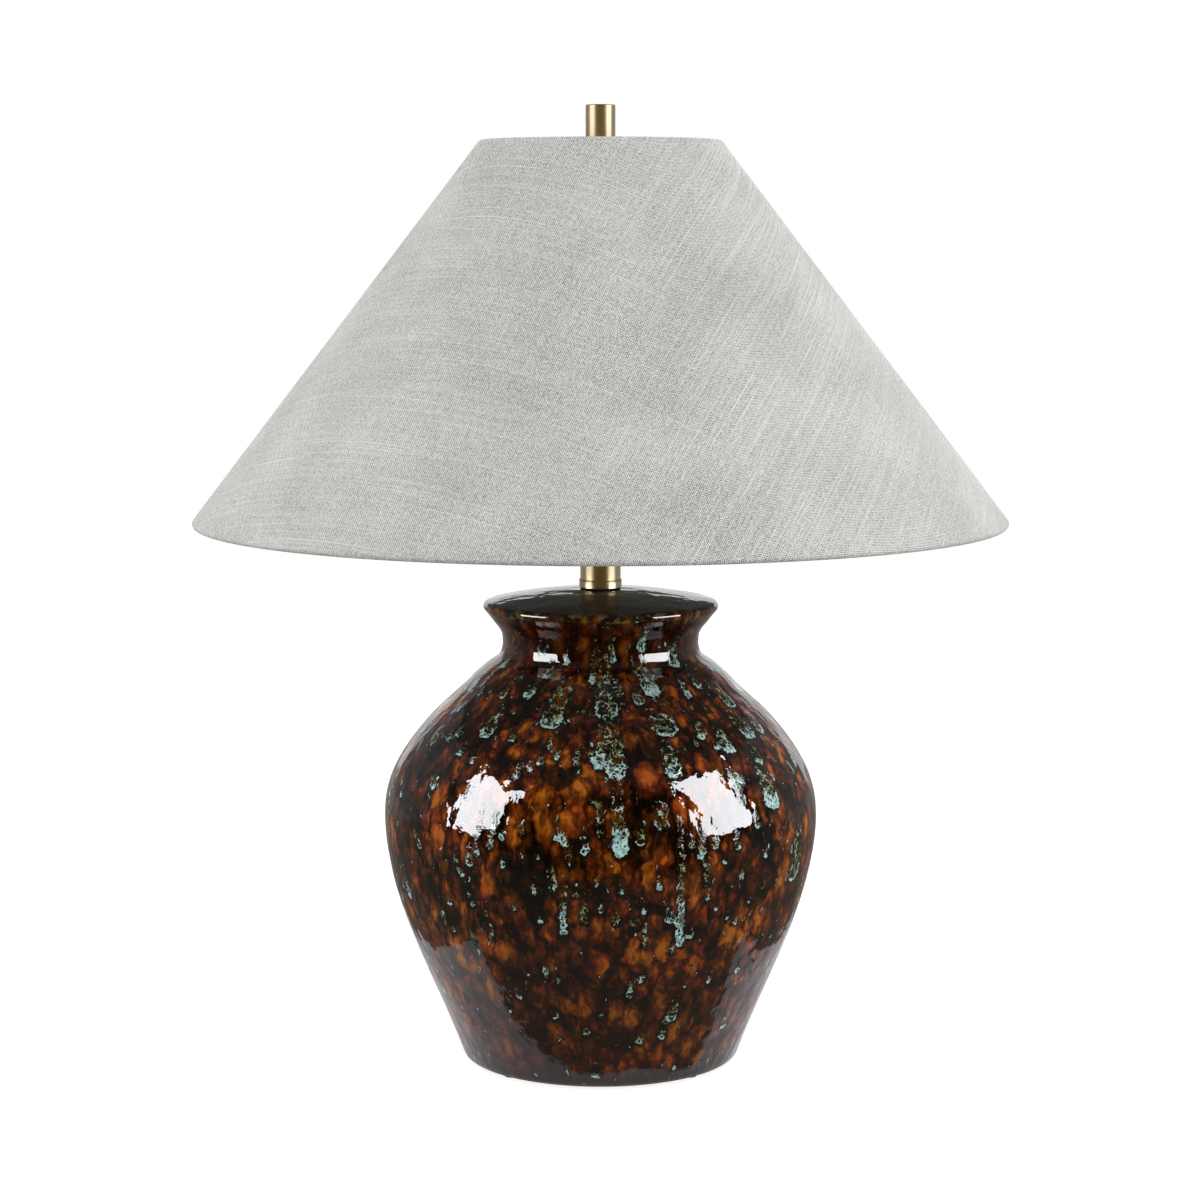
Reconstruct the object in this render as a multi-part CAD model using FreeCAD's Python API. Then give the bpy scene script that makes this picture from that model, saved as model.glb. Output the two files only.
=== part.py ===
"""Table lamp: a glazed ceramic vase base, a brass neck, a harp and a linen cone shade.

Millimetres. +Z is up, the foot pads stand on Z = 0 and the lamp's axis is the Z axis.
The front faces -Y, the lead leaves the foot at the back (+Y) and the harp lies in the XZ plane.
"""

import FreeCAD, Part
import math
import os

Vector = FreeCAD.Vector

ORIGIN = Vector(0, 0, 0)
UP = Vector(0, 0, 1)
RIGHT = Vector(1, 0, 0)
BACK = Vector(0, 1, 0)
FULL_TURN = 360
QUARTER_TURN = 90

# Clearances that more than one fit uses, and the overrun of every cut
running_clearance = 0.08
seat_clearance = 0.05
moving_gap = 0.3
cut_overrun = 2.0

# Felt pads under the foot
foot_pad_count = 4
foot_pad_radius = 4.4
foot_pad_thickness = 1.2
foot_pad_angle = 45.0

# Outside of the vase
foot_radius = 83.0
foot_edge_radius = 5.0
foot_lean_angle = 21.0
belly_radius = 136.4
belly_height = 157.0
throat_radius = 61.6
throat_height = 265.9
lip_radius = 73.8
lip_height = 287.4
lip_edge_radius = 3.2
lip_flare_angle = 43.0
dome_rim_angle = 12.5
neck_seat_radius = 14.6

# Inside of the vase
vase_wall = 7.0
vase_floor = 8.0
foot_ring_width = 10.0
recess_depth = 19.0
recess_draft = 1.5
recess_corner_radius = 4.0
pipe_hole_radius = 5.5

# The wall between two of those rings: share of the height, then share of the swell
lower_wall_shares = ((0.275, 0.354), (0.468, 0.614), (0.665, 0.832), (0.860, 0.965))
upper_wall_shares = ((0.257, 0.080), (0.441, 0.249), (0.597, 0.4475), (0.744, 0.682), (0.872, 0.890))
flare_shares = ((0.30, 0.085), (0.62, 0.475))

# Bushing of the lead's outlet, at the back of the foot
outlet_height = 11.4
outlet_bore_radius = 3.3
bushing_wall = 1.6
bushing_flange_radius = 6.3
bushing_flange_thickness = 2.2
bushing_snap_depth = 0.7
bushing_snap_length = 2.0
outlet_seat_depth = 1.0
outlet_seat_margin = 0.4

# Threaded lamp pipe and the hardware under the base floor
pipe_radius = 4.85
pipe_bore_radius = 3.6
pipe_fit = 0.15
pipe_tail = 4.0
rubber_washer_radius = 22.0
rubber_washer_thickness = 2.5
steel_washer_radius = 19.0
steel_washer_thickness = 1.6
lock_washer_radius = 7.8
lock_washer_thickness = 0.8
lock_washer_teeth = 10
lock_tooth_depth = 1.2
nut_sides = 6
nut_flats = 14.3
nut_height = 4.5
nut_chamfer = 0.8

# Brass neck
gasket_thickness = 0.8
gasket_inset = 0.8
neck_radius = 12.7
neck_wall = 1.2
neck_length = 57.0
collar_wall = 0.65
collar_height = 5.2
collar_base = 1.2
collar_edge_radius = 0.5
collar_bead_radius = 0.4
collar_bead_reach = 0.15
collar_groove_height = 0.5
collar_groove_depth = 0.3
cap_thickness = 2.0
cap_spigot_length = 3.0
cap_edge_chamfer = 0.5

# Harp saddle, bent from strip
saddle_thickness = 1.6
saddle_width = 12.0
saddle_half_span = 30.0
saddle_bend_radius = 9.0
saddle_shoulder_height = 17.0
saddle_socket_height = 15.0
saddle_socket_root = 3.0
saddle_socket_wall = 1.1
saddle_slot_width = 2.4

# Harp, bent from wire
harp_wire_radius = 1.9
harp_leg_height = 44.0
harp_half_width = 57.0
harp_height = 199.8
harp_sweep_angle = 35.0
harp_knee_radius = 25.0
harp_crown_radius = 46.0
harp_eye_length = 19.0
harp_eye_width = 10.0
harp_eye_thickness = 2.2
harp_eye_corner_radius = 2.5
harp_eye_bite = 1.5

# Ferrules that lock the harp's feet
ferrule_wall = 0.9
ferrule_height = 12.0
ferrule_knurl_depth = 0.25
ferrule_band_height = 1.6

# Swivel stud in the harp's eye
stud_shank_radius = 2.5
stud_head_radius = 4.0
stud_head_height = 1.5
stud_flange_radius = 6.5
stud_flange_height = 2.0
stud_thread_radius = 3.175
stud_length = 13.0
stud_chamfer = 0.6

# Finial
finial_radius = 9.3
finial_length = 34.4
finial_edge_radius = 0.7
finial_bore_depth = 16.0
finial_foot_radius = 8.4
finial_foot_height = 0.8

# Lampholder
holder_neck_radius = 7.0
holder_neck_height = 7.0
holder_cap_radius = 17.3
holder_cap_bowl = 7.0
holder_cap_skirt = 8.0
holder_metal = 0.55
holder_shell_length = 45.0
holder_shell_entry = 6.5
holder_lip_depth = 0.8
sleeve_thickness = 0.6
sleeve_inset = 1.2
holder_body_height = 19.0
holder_body_margin = 0.3
holder_body_inset = 1.5
terminal_flat_depth = 3.0
terminal_head_radius = 3.0
terminal_head_height = 1.5
terminal_shank_radius = 1.5
terminal_shank_length = 5.0
screw_shell_wall = 0.4
screw_shell_height = 21.5
screw_shell_hole_radius = 8.5
contact_width = 5.0
contact_half_length = 6.0
contact_rise_start = 4.2
contact_top_half_length = 2.2
contact_thickness = 0.5
contact_rise = 1.8
set_screw_radius = 1.3
set_screw_head_radius = 2.2
set_screw_head_height = 1.4

# Turn switch, at the front of the lampholder
switch_height = 9.5
switch_shaft_radius = 2.0
switch_shaft_bite = 7.0
switch_notch_radius = 2.6
knob_radius = 6.5
knob_thickness = 5.0
knob_length = 12.0
knob_socket_depth = 7.0
knob_gap = 1.5
knob_edge_radius = 1.4

# Bulb
bulb_radius = 30.0
bulb_glass_wall = 0.8
bulb_neck_radius = 12.4
bulb_shoulder_height = 58.0
bulb_base_radius = 13.15
bulb_base_height = 22.0
bulb_base_wall = 0.5
bulb_base_edge_radius = 2.0
bulb_entry = 7.0
bulb_insulator_height = 2.4
bulb_insulator_tip_radius = 6.0
bulb_contact_radius = 4.6
bulb_contact_height = 0.9
bulb_neck_shares = ((0.20, 0.03), (0.42, 0.20), (0.63, 0.52), (0.83, 0.86))

# Shade
shade_height = 237.0
shade_bottom_radius = 254.0
shade_top_radius = 75.8
shade_drop = 13.0
linen_thickness = 0.7
liner_thickness = 0.6
ring_wire_radius = 1.35
ring_slack = 0.15
bottom_wrap_angle = 225.0
top_wrap_angle = 150.0
hem_fold_count = 4
liner_edge_gap = 0.5
spider_arm_count = 3
spider_arm_angle = 90.0
spider_wire_radius = 1.5
spider_bend_radius = 6.0
spider_washer_radius = 13.0
spider_washer_thickness = 1.5
spider_washer_fit = 0.25
spider_weld_bite = 1.0

# Levels and radii of the vase
vase_bottom = foot_pad_thickness
foot_wall_radius = foot_radius + foot_edge_radius * math.cos(math.radians(foot_lean_angle))
foot_wall_level = vase_bottom + foot_edge_radius * (1 - math.sin(math.radians(foot_lean_angle)))
belly_level = vase_bottom + belly_height
throat_level = vase_bottom + throat_height
lip_level = vase_bottom + lip_height
lip_centre_radius = lip_radius - lip_edge_radius
flare_end_radius = lip_centre_radius + lip_edge_radius * math.cos(math.radians(lip_flare_angle))
flare_end_level = lip_level - lip_edge_radius * math.sin(math.radians(lip_flare_angle))
dome_rim_radius = lip_centre_radius + lip_edge_radius * math.sin(math.radians(dome_rim_angle))
dome_rim_level = lip_level + lip_edge_radius * math.cos(math.radians(dome_rim_angle))
dome_radius = dome_rim_radius / math.sin(math.radians(dome_rim_angle))
dome_centre_level = dome_rim_level - dome_radius * math.cos(math.radians(dome_rim_angle))
neck_seat_level = dome_centre_level + math.sqrt(dome_radius**2 - neck_seat_radius**2)
recess_top = vase_bottom + recess_depth
cavity_floor = recess_top + vase_floor
recess_radius = foot_radius - foot_ring_width
recess_top_radius = recess_radius - recess_draft

# Levels of the hardware under the base floor, downwards
rubber_washer_bottom = recess_top - rubber_washer_thickness
steel_washer_bottom = rubber_washer_bottom - steel_washer_thickness
lock_washer_bottom = steel_washer_bottom - lock_washer_thickness
lower_nut_bottom = lock_washer_bottom - nut_height
pipe_bottom = lower_nut_bottom - pipe_tail

# Levels of the neck, saddle and lampholder, upwards
collar_bottom = neck_seat_level + gasket_thickness
collar_radius = neck_radius + collar_wall
neck_bottom = collar_bottom + collar_base
neck_top = neck_bottom + neck_length
saddle_bottom = neck_top + cap_thickness
saddle_top = saddle_bottom + saddle_thickness
holder_bottom = saddle_top + nut_height
pipe_top = holder_bottom + holder_neck_height
pipe_hole = pipe_radius + pipe_fit
holder_skirt_bottom = pipe_top + holder_cap_bowl
holder_skirt_top = holder_skirt_bottom + holder_cap_skirt
shell_radius = holder_cap_radius - holder_metal - seat_clearance
shell_bottom = holder_skirt_top - holder_shell_entry
shell_top = shell_bottom + holder_shell_length
sleeve_radius = shell_radius - holder_metal - seat_clearance
sleeve_bore_radius = sleeve_radius - sleeve_thickness
holder_body_radius = sleeve_bore_radius - holder_body_margin
holder_body_bottom = shell_bottom + holder_body_inset
holder_body_top = holder_body_bottom + holder_body_height
terminal_flat_x = holder_body_radius - terminal_flat_depth
switch_level = holder_body_bottom + switch_height
screw_shell_bore_radius = bulb_base_radius + running_clearance

# Levels of the bulb
contact_top = holder_body_top + contact_rise + contact_thickness
bulb_tip_level = contact_top + moving_gap
bulb_insulator_bottom = bulb_tip_level + bulb_contact_height
bulb_base_bottom = bulb_insulator_bottom + bulb_insulator_height
bulb_base_top = bulb_base_bottom + bulb_base_height
bulb_glass_bottom = bulb_base_top - bulb_entry
bulb_centre_level = bulb_glass_bottom + bulb_shoulder_height

# Levels of the harp, ferrules, stud and finial
saddle_shoulder_level = saddle_bottom + saddle_shoulder_height
saddle_bore_radius = harp_wire_radius + running_clearance
saddle_socket_radius = saddle_bore_radius + saddle_socket_wall
harp_foot_level = saddle_shoulder_level + moving_gap
harp_top_level = saddle_bottom + harp_height
eye_bottom = harp_top_level - harp_eye_thickness / 2
eye_top = eye_bottom + harp_eye_thickness
ferrule_bottom = saddle_shoulder_level + moving_gap
ferrule_bore_radius = saddle_socket_radius + running_clearance
stud_head_top = eye_bottom - moving_gap
stud_flange_bottom = eye_top + moving_gap
washer_bottom = stud_flange_bottom + stud_flange_height
washer_top = washer_bottom + spider_washer_thickness
finial_bottom = washer_top + moving_gap

# The shade's cone, along the wire ring centres
roll_inner_radius = ring_wire_radius + ring_slack
roll_radius = roll_inner_radius + linen_thickness
shade_top_level = washer_top + shade_drop
shade_bottom_level = shade_top_level - shade_height
lower_ring = Vector(shade_bottom_radius - roll_radius, 0, shade_bottom_level + roll_radius)
upper_ring = Vector(shade_top_radius - roll_radius, 0, shade_top_level - roll_radius)
slant_length = (upper_ring - lower_ring).Length
slant_up = (upper_ring - lower_ring) / slant_length
slant_out = Vector(slant_up.z, 0, -slant_up.x)


def at(radius, level):
    """A point of an outline in the XZ plane."""
    return Vector(radius, 0, level)


def towards(centre, distance, degrees):
    """The point of the XZ plane that lies at an angle above the horizontal from a centre."""
    turn = math.radians(degrees)
    return centre + Vector(math.cos(turn), 0, math.sin(turn)) * distance


def line(start, end):
    return Part.LineSegment(start, end).toShape()


def arc(centre, radius, start_angle, end_angle):
    """An arc in the XZ plane from one angle to the other."""
    middle_angle = (start_angle + end_angle) / 2
    start = towards(centre, radius, start_angle)
    middle = towards(centre, radius, middle_angle)
    end = towards(centre, radius, end_angle)
    return Part.Arc(start, middle, end).toShape()


def run(points):
    """Straight edges from each point to the next."""
    return [line(start, end) for start, end in zip(points[:-1], points[1:])]


def sides(*points):
    """Straight edges from each point to the next and back to the first."""
    return run(points + points[:1])


def outward(solid):
    """The solid with its surface facing outwards."""
    if solid.Volume < 0:
        solid.reverse()
    return solid


def turned(edges):
    """The solid that a closed outline in the XZ plane sweeps round the lamp's axis."""
    return outward(Part.Face(Part.Wire(edges)).revolve(ORIGIN, UP, FULL_TURN))


def pulled(edges, width):
    """A flat outline in the XZ plane given a width, half of it each way along Y."""
    face = Part.Face(Part.Wire(edges))
    face.translate(BACK * (-width / 2))
    return outward(face.extrude(BACK * width))


def rod(radius, bottom, height):
    return Part.makeCylinder(radius, height, at(0, bottom))


def tube(bore_radius, radius, bottom, height):
    return rod(radius, bottom, height).cut(rod(bore_radius, bottom, height))


def smooth_curve(points, start_angle, end_angle):
    """A curve through points of the XZ plane that starts and ends at given slopes."""
    curve = Part.BSplineCurve()
    start_direction = towards(ORIGIN, 1, start_angle)
    end_direction = towards(ORIGIN, 1, end_angle)
    curve.interpolate(Points=points, InitialTangent=start_direction, FinalTangent=end_direction)
    return curve


def between(start, end, shares):
    """Points from one ring to the next, each by its share of the height and of the swell."""
    points = [start]
    for height_share, swell_share in shares:
        radius = start.x + (end.x - start.x) * swell_share
        level = start.z + (end.z - start.z) * height_share
        points.append(at(radius, level))
    points.append(end)
    return points


def moved_inwards(points, curve, depth):
    """The points of a rising curve, moved inwards square to it."""
    inner_points = []
    for point in points:
        rise = curve.tangent(curve.parameter(point))[0]
        inner_points.append(point - Vector(rise.z, 0, -rise.x) * depth)
    return inner_points


def wall_points():
    """The three stretches of the vase's wall: foot to belly, belly to throat, throat to lip."""
    foot = at(foot_wall_radius, foot_wall_level)
    belly = at(belly_radius, belly_level)
    throat = at(throat_radius, throat_level)
    flare_end = at(flare_end_radius, flare_end_level)
    lower = between(foot, belly, lower_wall_shares)
    upper = between(belly, throat, upper_wall_shares)
    flare = between(throat, flare_end, flare_shares)
    return lower, upper, flare


def wall_slopes():
    """The slope at the start and end of each stretch, in degrees above the horizontal."""
    foot_slope = QUARTER_TURN - foot_lean_angle
    lip_slope = QUARTER_TURN - lip_flare_angle
    return (foot_slope, QUARTER_TURN), (QUARTER_TURN, QUARTER_TURN), (QUARTER_TURN, lip_slope)


def vase_outside():
    """The vase without its cavity, recess and holes."""
    foot_centre = at(foot_radius, vase_bottom + foot_edge_radius)
    lip_centre = at(lip_centre_radius, lip_level)
    edges = [line(at(0, vase_bottom), at(foot_radius, vase_bottom))]
    edges.append(arc(foot_centre, foot_edge_radius, -QUARTER_TURN, -foot_lean_angle))
    for points, slopes in zip(wall_points(), wall_slopes()):
        edges.append(smooth_curve(points, *slopes).toShape())
    edges.append(arc(lip_centre, lip_edge_radius, -lip_flare_angle, QUARTER_TURN - dome_rim_angle))
    dome_start = towards(lip_centre, lip_edge_radius, QUARTER_TURN - dome_rim_angle)
    dome_end = at(neck_seat_radius, neck_seat_level)
    seat_angle = math.degrees(math.asin(neck_seat_radius / dome_radius))
    middle_angle = QUARTER_TURN - (dome_rim_angle + seat_angle) / 2
    dome_middle = towards(at(0, dome_centre_level), dome_radius, middle_angle)
    edges.append(Part.Arc(dome_start, dome_middle, dome_end).toShape())
    edges.append(line(dome_end, at(0, neck_seat_level)))
    edges.append(line(at(0, neck_seat_level), at(0, vase_bottom)))
    return turned(edges)


def vase_cavity():
    """The closed space inside the wall, above the floor and under the domed top."""
    ring_points = []
    for points, slopes in zip(wall_points(), wall_slopes()):
        inner_points = moved_inwards(points, smooth_curve(points, *slopes), vase_wall)
        ring_points = ring_points[:-1] + inner_points
    start = ring_points[0]
    end = ring_points[-1]
    inside = turned(sides(at(0, start.z), *ring_points, at(0, end.z)))
    above_floor = rod(belly_radius, cavity_floor, lip_level - vase_bottom)
    under_dome = Part.makeSphere(dome_radius - vase_wall, at(0, dome_centre_level))
    return inside.common(above_floor).common(under_dome)


def foot_recess():
    """The hollow under the base floor, with a moulded corner."""
    corner = at(recess_top_radius - recess_corner_radius, recess_top - recess_corner_radius)
    start = at(0, vase_bottom - cut_overrun)
    rim = at(recess_radius, vase_bottom - cut_overrun)
    wall_end = towards(corner, recess_corner_radius, 0)
    ceiling = towards(corner, recess_corner_radius, QUARTER_TURN)
    edges = [line(start, rim), line(rim, wall_end)]
    edges.append(arc(corner, recess_corner_radius, 0, QUARTER_TURN))
    edges.append(line(ceiling, at(0, recess_top)))
    edges.append(line(at(0, recess_top), start))
    return turned(edges)


def outlet_seat_y():
    """How far back the bushing's flange sits on the foot."""
    return foot_wall_radius - outlet_seat_depth


def outlet_rod(radius, start_y, length):
    """A round bar along the lead's outlet."""
    centre = Vector(0, start_y, vase_bottom + outlet_height)
    return Part.makeCylinder(radius, length, centre, BACK)


def outlet_hole():
    """The lead's hole through the foot, with a flat seat for the bushing's flange."""
    bushing_radius = outlet_bore_radius + bushing_wall
    start_y = recess_top_radius - recess_corner_radius
    hole_radius = bushing_radius + seat_clearance
    hole = outlet_rod(hole_radius, start_y, foot_wall_radius - start_y)
    seat_radius = bushing_flange_radius + outlet_seat_margin
    seat = outlet_rod(seat_radius, outlet_seat_y(), belly_radius - outlet_seat_y())
    return hole.fuse(seat)


def vase():
    pipe_hole_rod = rod(pipe_hole_radius, vase_bottom, neck_seat_level)
    body = vase_outside().cut(vase_cavity())
    return body.cut([foot_recess(), pipe_hole_rod, outlet_hole()])


def foot_pads():
    pads = []
    for index in range(foot_pad_count):
        pad = rod(foot_pad_radius, 0, foot_pad_thickness)
        pad.translate(at((recess_radius + foot_radius) / 2, 0))
        pad.rotate(ORIGIN, UP, foot_pad_angle + index * FULL_TURN / foot_pad_count)
        pads.append(pad)
    return Part.makeCompound(pads)


def outlet_bushing():
    """A flanged sleeve with a snap ring that catches behind the foot's wall."""
    bushing_radius = outlet_bore_radius + bushing_wall
    snap_radius = bushing_radius + bushing_snap_depth
    wall_y = math.sqrt(recess_top_radius**2 - snap_radius**2) - moving_gap
    inner_y = wall_y - bushing_snap_length
    sleeve = outlet_rod(bushing_radius, inner_y, outlet_seat_y() - inner_y)
    snap = outlet_rod(snap_radius, inner_y, bushing_snap_length)
    flange = outlet_rod(bushing_flange_radius, outlet_seat_y(), bushing_flange_thickness)
    length = outlet_seat_y() + bushing_flange_thickness - inner_y
    bore = outlet_rod(outlet_bore_radius, inner_y, length)
    return sleeve.fuse([snap, flange]).removeSplitter().cut(bore)


def flat_washer(radius, bottom, thickness):
    """A plain washer on the lamp pipe."""
    return tube(pipe_hole, radius, bottom, thickness)


def lock_washer():
    """A washer with sharp teeth round its edge."""
    corners = []
    for index in range(2 * lock_washer_teeth):
        radius = lock_washer_radius - lock_tooth_depth * (index % 2)
        turn = math.pi * index / lock_washer_teeth
        corner = Vector(radius * math.cos(turn), radius * math.sin(turn), lock_washer_bottom)
        corners.append(corner)
    star = Part.Face(Part.Wire(sides(*corners))).extrude(UP * lock_washer_thickness)
    return outward(star).cut(rod(pipe_hole, lock_washer_bottom, lock_washer_thickness))


def pipe_nut(bottom):
    """A hexagon nut with chamfered corners."""
    corner_radius = nut_flats / 2 / math.cos(math.pi / nut_sides)
    corners = []
    for index in range(nut_sides):
        turn = 2 * math.pi * index / nut_sides
        corner = Vector(corner_radius * math.cos(turn), corner_radius * math.sin(turn), bottom)
        corners.append(corner)
    hexagon = outward(Part.Face(Part.Wire(sides(*corners))).extrude(UP * nut_height))
    top = bottom + nut_height
    narrow = corner_radius - nut_chamfer
    drop = nut_chamfer / 2
    turned_blank = turned(
        sides(
            at(0, bottom),
            at(narrow, bottom),
            at(corner_radius, bottom + drop),
            at(corner_radius, top - drop),
            at(narrow, top),
            at(0, top),
        )
    )
    return hexagon.common(turned_blank).cut(rod(pipe_hole, bottom, nut_height))


def neck_collar():
    """A cup that holds the neck tube's foot, with a fine bead over a groove."""
    top = collar_bottom + collar_height
    bead_x = collar_radius + collar_bead_reach - collar_bead_radius
    bead_centre = at(bead_x, top - collar_bead_radius)
    bead_bottom = top - 2 * collar_bead_radius
    groove_radius = collar_radius - collar_groove_depth
    groove_bottom = bead_bottom - collar_groove_height
    edge_centre = at(collar_radius - collar_edge_radius, collar_bottom + collar_edge_radius)
    bore_radius = neck_radius + seat_clearance
    edges = [line(at(pipe_hole, collar_bottom), towards(edge_centre, collar_edge_radius, -QUARTER_TURN))]
    edges.append(arc(edge_centre, collar_edge_radius, -QUARTER_TURN, 0))
    edges.append(line(towards(edge_centre, collar_edge_radius, 0), at(collar_radius, groove_bottom)))
    edges.append(line(at(collar_radius, groove_bottom), at(groove_radius, groove_bottom)))
    edges.append(line(at(groove_radius, groove_bottom), at(groove_radius, bead_bottom)))
    edges.append(line(at(groove_radius, bead_bottom), at(bead_x, bead_bottom)))
    edges.append(arc(bead_centre, collar_bead_radius, -QUARTER_TURN, QUARTER_TURN))
    edges.append(line(at(bead_x, top), at(bore_radius, top)))
    edges.append(line(at(bore_radius, top), at(bore_radius, neck_bottom)))
    edges.append(line(at(bore_radius, neck_bottom), at(pipe_hole, neck_bottom)))
    edges.append(line(at(pipe_hole, neck_bottom), at(pipe_hole, collar_bottom)))
    return turned(edges)


def neck_cap():
    """A disc that closes the neck tube, with a spigot inside it and a bore for the pipe."""
    spigot_radius = neck_radius - neck_wall - seat_clearance
    return turned(
        sides(
            at(pipe_hole, neck_top - cap_spigot_length),
            at(spigot_radius, neck_top - cap_spigot_length),
            at(spigot_radius, neck_top),
            at(neck_radius, neck_top),
            at(neck_radius, saddle_bottom - cap_edge_chamfer),
            at(neck_radius - cap_edge_chamfer, saddle_bottom),
            at(pipe_hole, saddle_bottom),
        )
    )


def saddle_strip():
    """The saddle's strip, bent up at both ends."""
    outer_x = saddle_half_span + saddle_thickness / 2
    inner_x = outer_x - saddle_thickness
    bend_x = outer_x - saddle_bend_radius
    bend_level = saddle_bottom + saddle_bend_radius
    inside_radius = saddle_bend_radius - saddle_thickness
    right_bend = at(bend_x, bend_level)
    left_bend = at(-bend_x, bend_level)
    right_outer = at(outer_x, saddle_shoulder_level)
    right_inner = at(inner_x, saddle_shoulder_level)
    left_outer = at(-outer_x, saddle_shoulder_level)
    left_inner = at(-inner_x, saddle_shoulder_level)
    edges = [
        line(left_outer, at(-outer_x, bend_level)),
        arc(left_bend, saddle_bend_radius, 2 * QUARTER_TURN, 3 * QUARTER_TURN),
        line(at(-bend_x, saddle_bottom), at(bend_x, saddle_bottom)),
        arc(right_bend, saddle_bend_radius, -QUARTER_TURN, 0),
        line(at(outer_x, bend_level), right_outer),
        line(right_outer, right_inner),
        line(right_inner, at(inner_x, bend_level)),
        arc(right_bend, inside_radius, 0, -QUARTER_TURN),
        line(at(bend_x, saddle_top), at(-bend_x, saddle_top)),
        arc(left_bend, inside_radius, 3 * QUARTER_TURN, 2 * QUARTER_TURN),
        line(at(-inner_x, bend_level), left_inner),
        line(left_inner, left_outer),
    ]
    return pulled(edges, saddle_width)


def saddle_rod(side, radius, bottom, height):
    """A round bar on the axis of one of the saddle's two wire sockets."""
    return Part.makeCylinder(radius, height, at(side * saddle_half_span, bottom))


def harp_saddle():
    """The saddle: a bent strip whose ends carry slotted sockets for the harp's feet."""
    root_level = saddle_shoulder_level - saddle_socket_root
    socket_length = saddle_socket_root + saddle_socket_height
    body = saddle_strip()
    cuts = [rod(pipe_hole, saddle_bottom, saddle_thickness)]
    for side in (-1, 1):
        body = body.fuse(saddle_rod(side, saddle_socket_radius, root_level, socket_length))
        bore = saddle_rod(side, saddle_bore_radius, saddle_shoulder_level, saddle_socket_height)
        slot_x = side * saddle_half_span + min(side, 0) * saddle_socket_radius
        slot_corner = Vector(slot_x, -saddle_slot_width / 2, saddle_shoulder_level)
        slot = Part.makeBox(saddle_socket_radius, saddle_slot_width, saddle_socket_height, slot_corner)
        cuts.extend([bore, slot])
    return body.cut(cuts)


def harp_path(side):
    """One half of the harp's line, from its foot up and over to the eye."""
    sweep = math.radians(harp_sweep_angle)
    reach = harp_half_width - saddle_half_span
    waist_radius = reach / (1 - math.cos(sweep)) - harp_knee_radius
    leg_top = saddle_bottom + harp_leg_height
    knee_centre = at(saddle_half_span + harp_knee_radius, leg_top)
    knee_angle = 2 * QUARTER_TURN - harp_sweep_angle
    waist_level = leg_top + (harp_knee_radius + waist_radius) * math.sin(sweep)
    waist_centre = at(harp_half_width - waist_radius, waist_level)
    crown_level = harp_top_level - harp_crown_radius
    crown_centre = at(harp_half_width - harp_crown_radius, crown_level)
    eye_x = harp_eye_length / 2 - harp_eye_bite
    edges = [
        line(at(saddle_half_span, harp_foot_level), at(saddle_half_span, leg_top)),
        arc(knee_centre, harp_knee_radius, 2 * QUARTER_TURN, knee_angle),
        arc(waist_centre, waist_radius, -harp_sweep_angle, 0),
        line(at(harp_half_width, waist_level), at(harp_half_width, crown_level)),
        arc(crown_centre, harp_crown_radius, 0, QUARTER_TURN),
        line(at(crown_centre.x, harp_top_level), at(eye_x, harp_top_level)),
    ]
    path = Part.Wire(edges)
    if side < 0:
        path = path.mirror(ORIGIN, RIGHT)
    return path


def harp():
    """The harp's bent wire, flattened at the top into an eye for the swivel stud."""
    eye = Part.makeBox(
        harp_eye_length,
        harp_eye_width,
        harp_eye_thickness,
        Vector(-harp_eye_length / 2, -harp_eye_width / 2, eye_bottom),
    )
    upright = [edge for edge in eye.Edges if edge.Vertexes[0].X == edge.Vertexes[1].X]
    upright = [edge for edge in upright if edge.Vertexes[0].Y == edge.Vertexes[1].Y]
    body = eye.makeFillet(harp_eye_corner_radius, upright)
    for side in (-1, 1):
        foot = at(side * saddle_half_span, harp_foot_level)
        section = Part.Wire(Part.Circle(foot, UP, harp_wire_radius).toShape())
        wire = harp_path(side).makePipeShell([section], True, False)
        body = body.fuse(outward(wire))
    return body.cut(rod(stud_shank_radius + running_clearance, eye_bottom, harp_eye_thickness))


def ferrule(side):
    """A sleeve round a saddle socket, with a raised band at each end."""
    radius = ferrule_bore_radius + ferrule_wall
    waist = radius - ferrule_knurl_depth
    top = ferrule_bottom + ferrule_height
    sleeve = turned(
        sides(
            at(ferrule_bore_radius, ferrule_bottom),
            at(radius, ferrule_bottom),
            at(radius, ferrule_bottom + ferrule_band_height),
            at(waist, ferrule_bottom + ferrule_band_height + ferrule_knurl_depth),
            at(waist, top - ferrule_band_height - ferrule_knurl_depth),
            at(radius, top - ferrule_band_height),
            at(radius, top),
            at(ferrule_bore_radius, top),
        )
    )
    sleeve.translate(RIGHT * (side * saddle_half_span))
    return sleeve


def harp_stud():
    """The riveted swivel stud that carries the shade and takes the finial."""
    stud_top = washer_bottom + stud_length
    return turned(
        sides(
            at(0, stud_head_top - stud_head_height),
            at(stud_head_radius, stud_head_top - stud_head_height),
            at(stud_head_radius, stud_head_top),
            at(stud_shank_radius, stud_head_top),
            at(stud_shank_radius, stud_flange_bottom),
            at(stud_flange_radius, stud_flange_bottom),
            at(stud_flange_radius, washer_bottom),
            at(stud_thread_radius, washer_bottom),
            at(stud_thread_radius, stud_top - stud_chamfer),
            at(stud_thread_radius - stud_chamfer, stud_top),
            at(0, stud_top),
        )
    )


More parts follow.
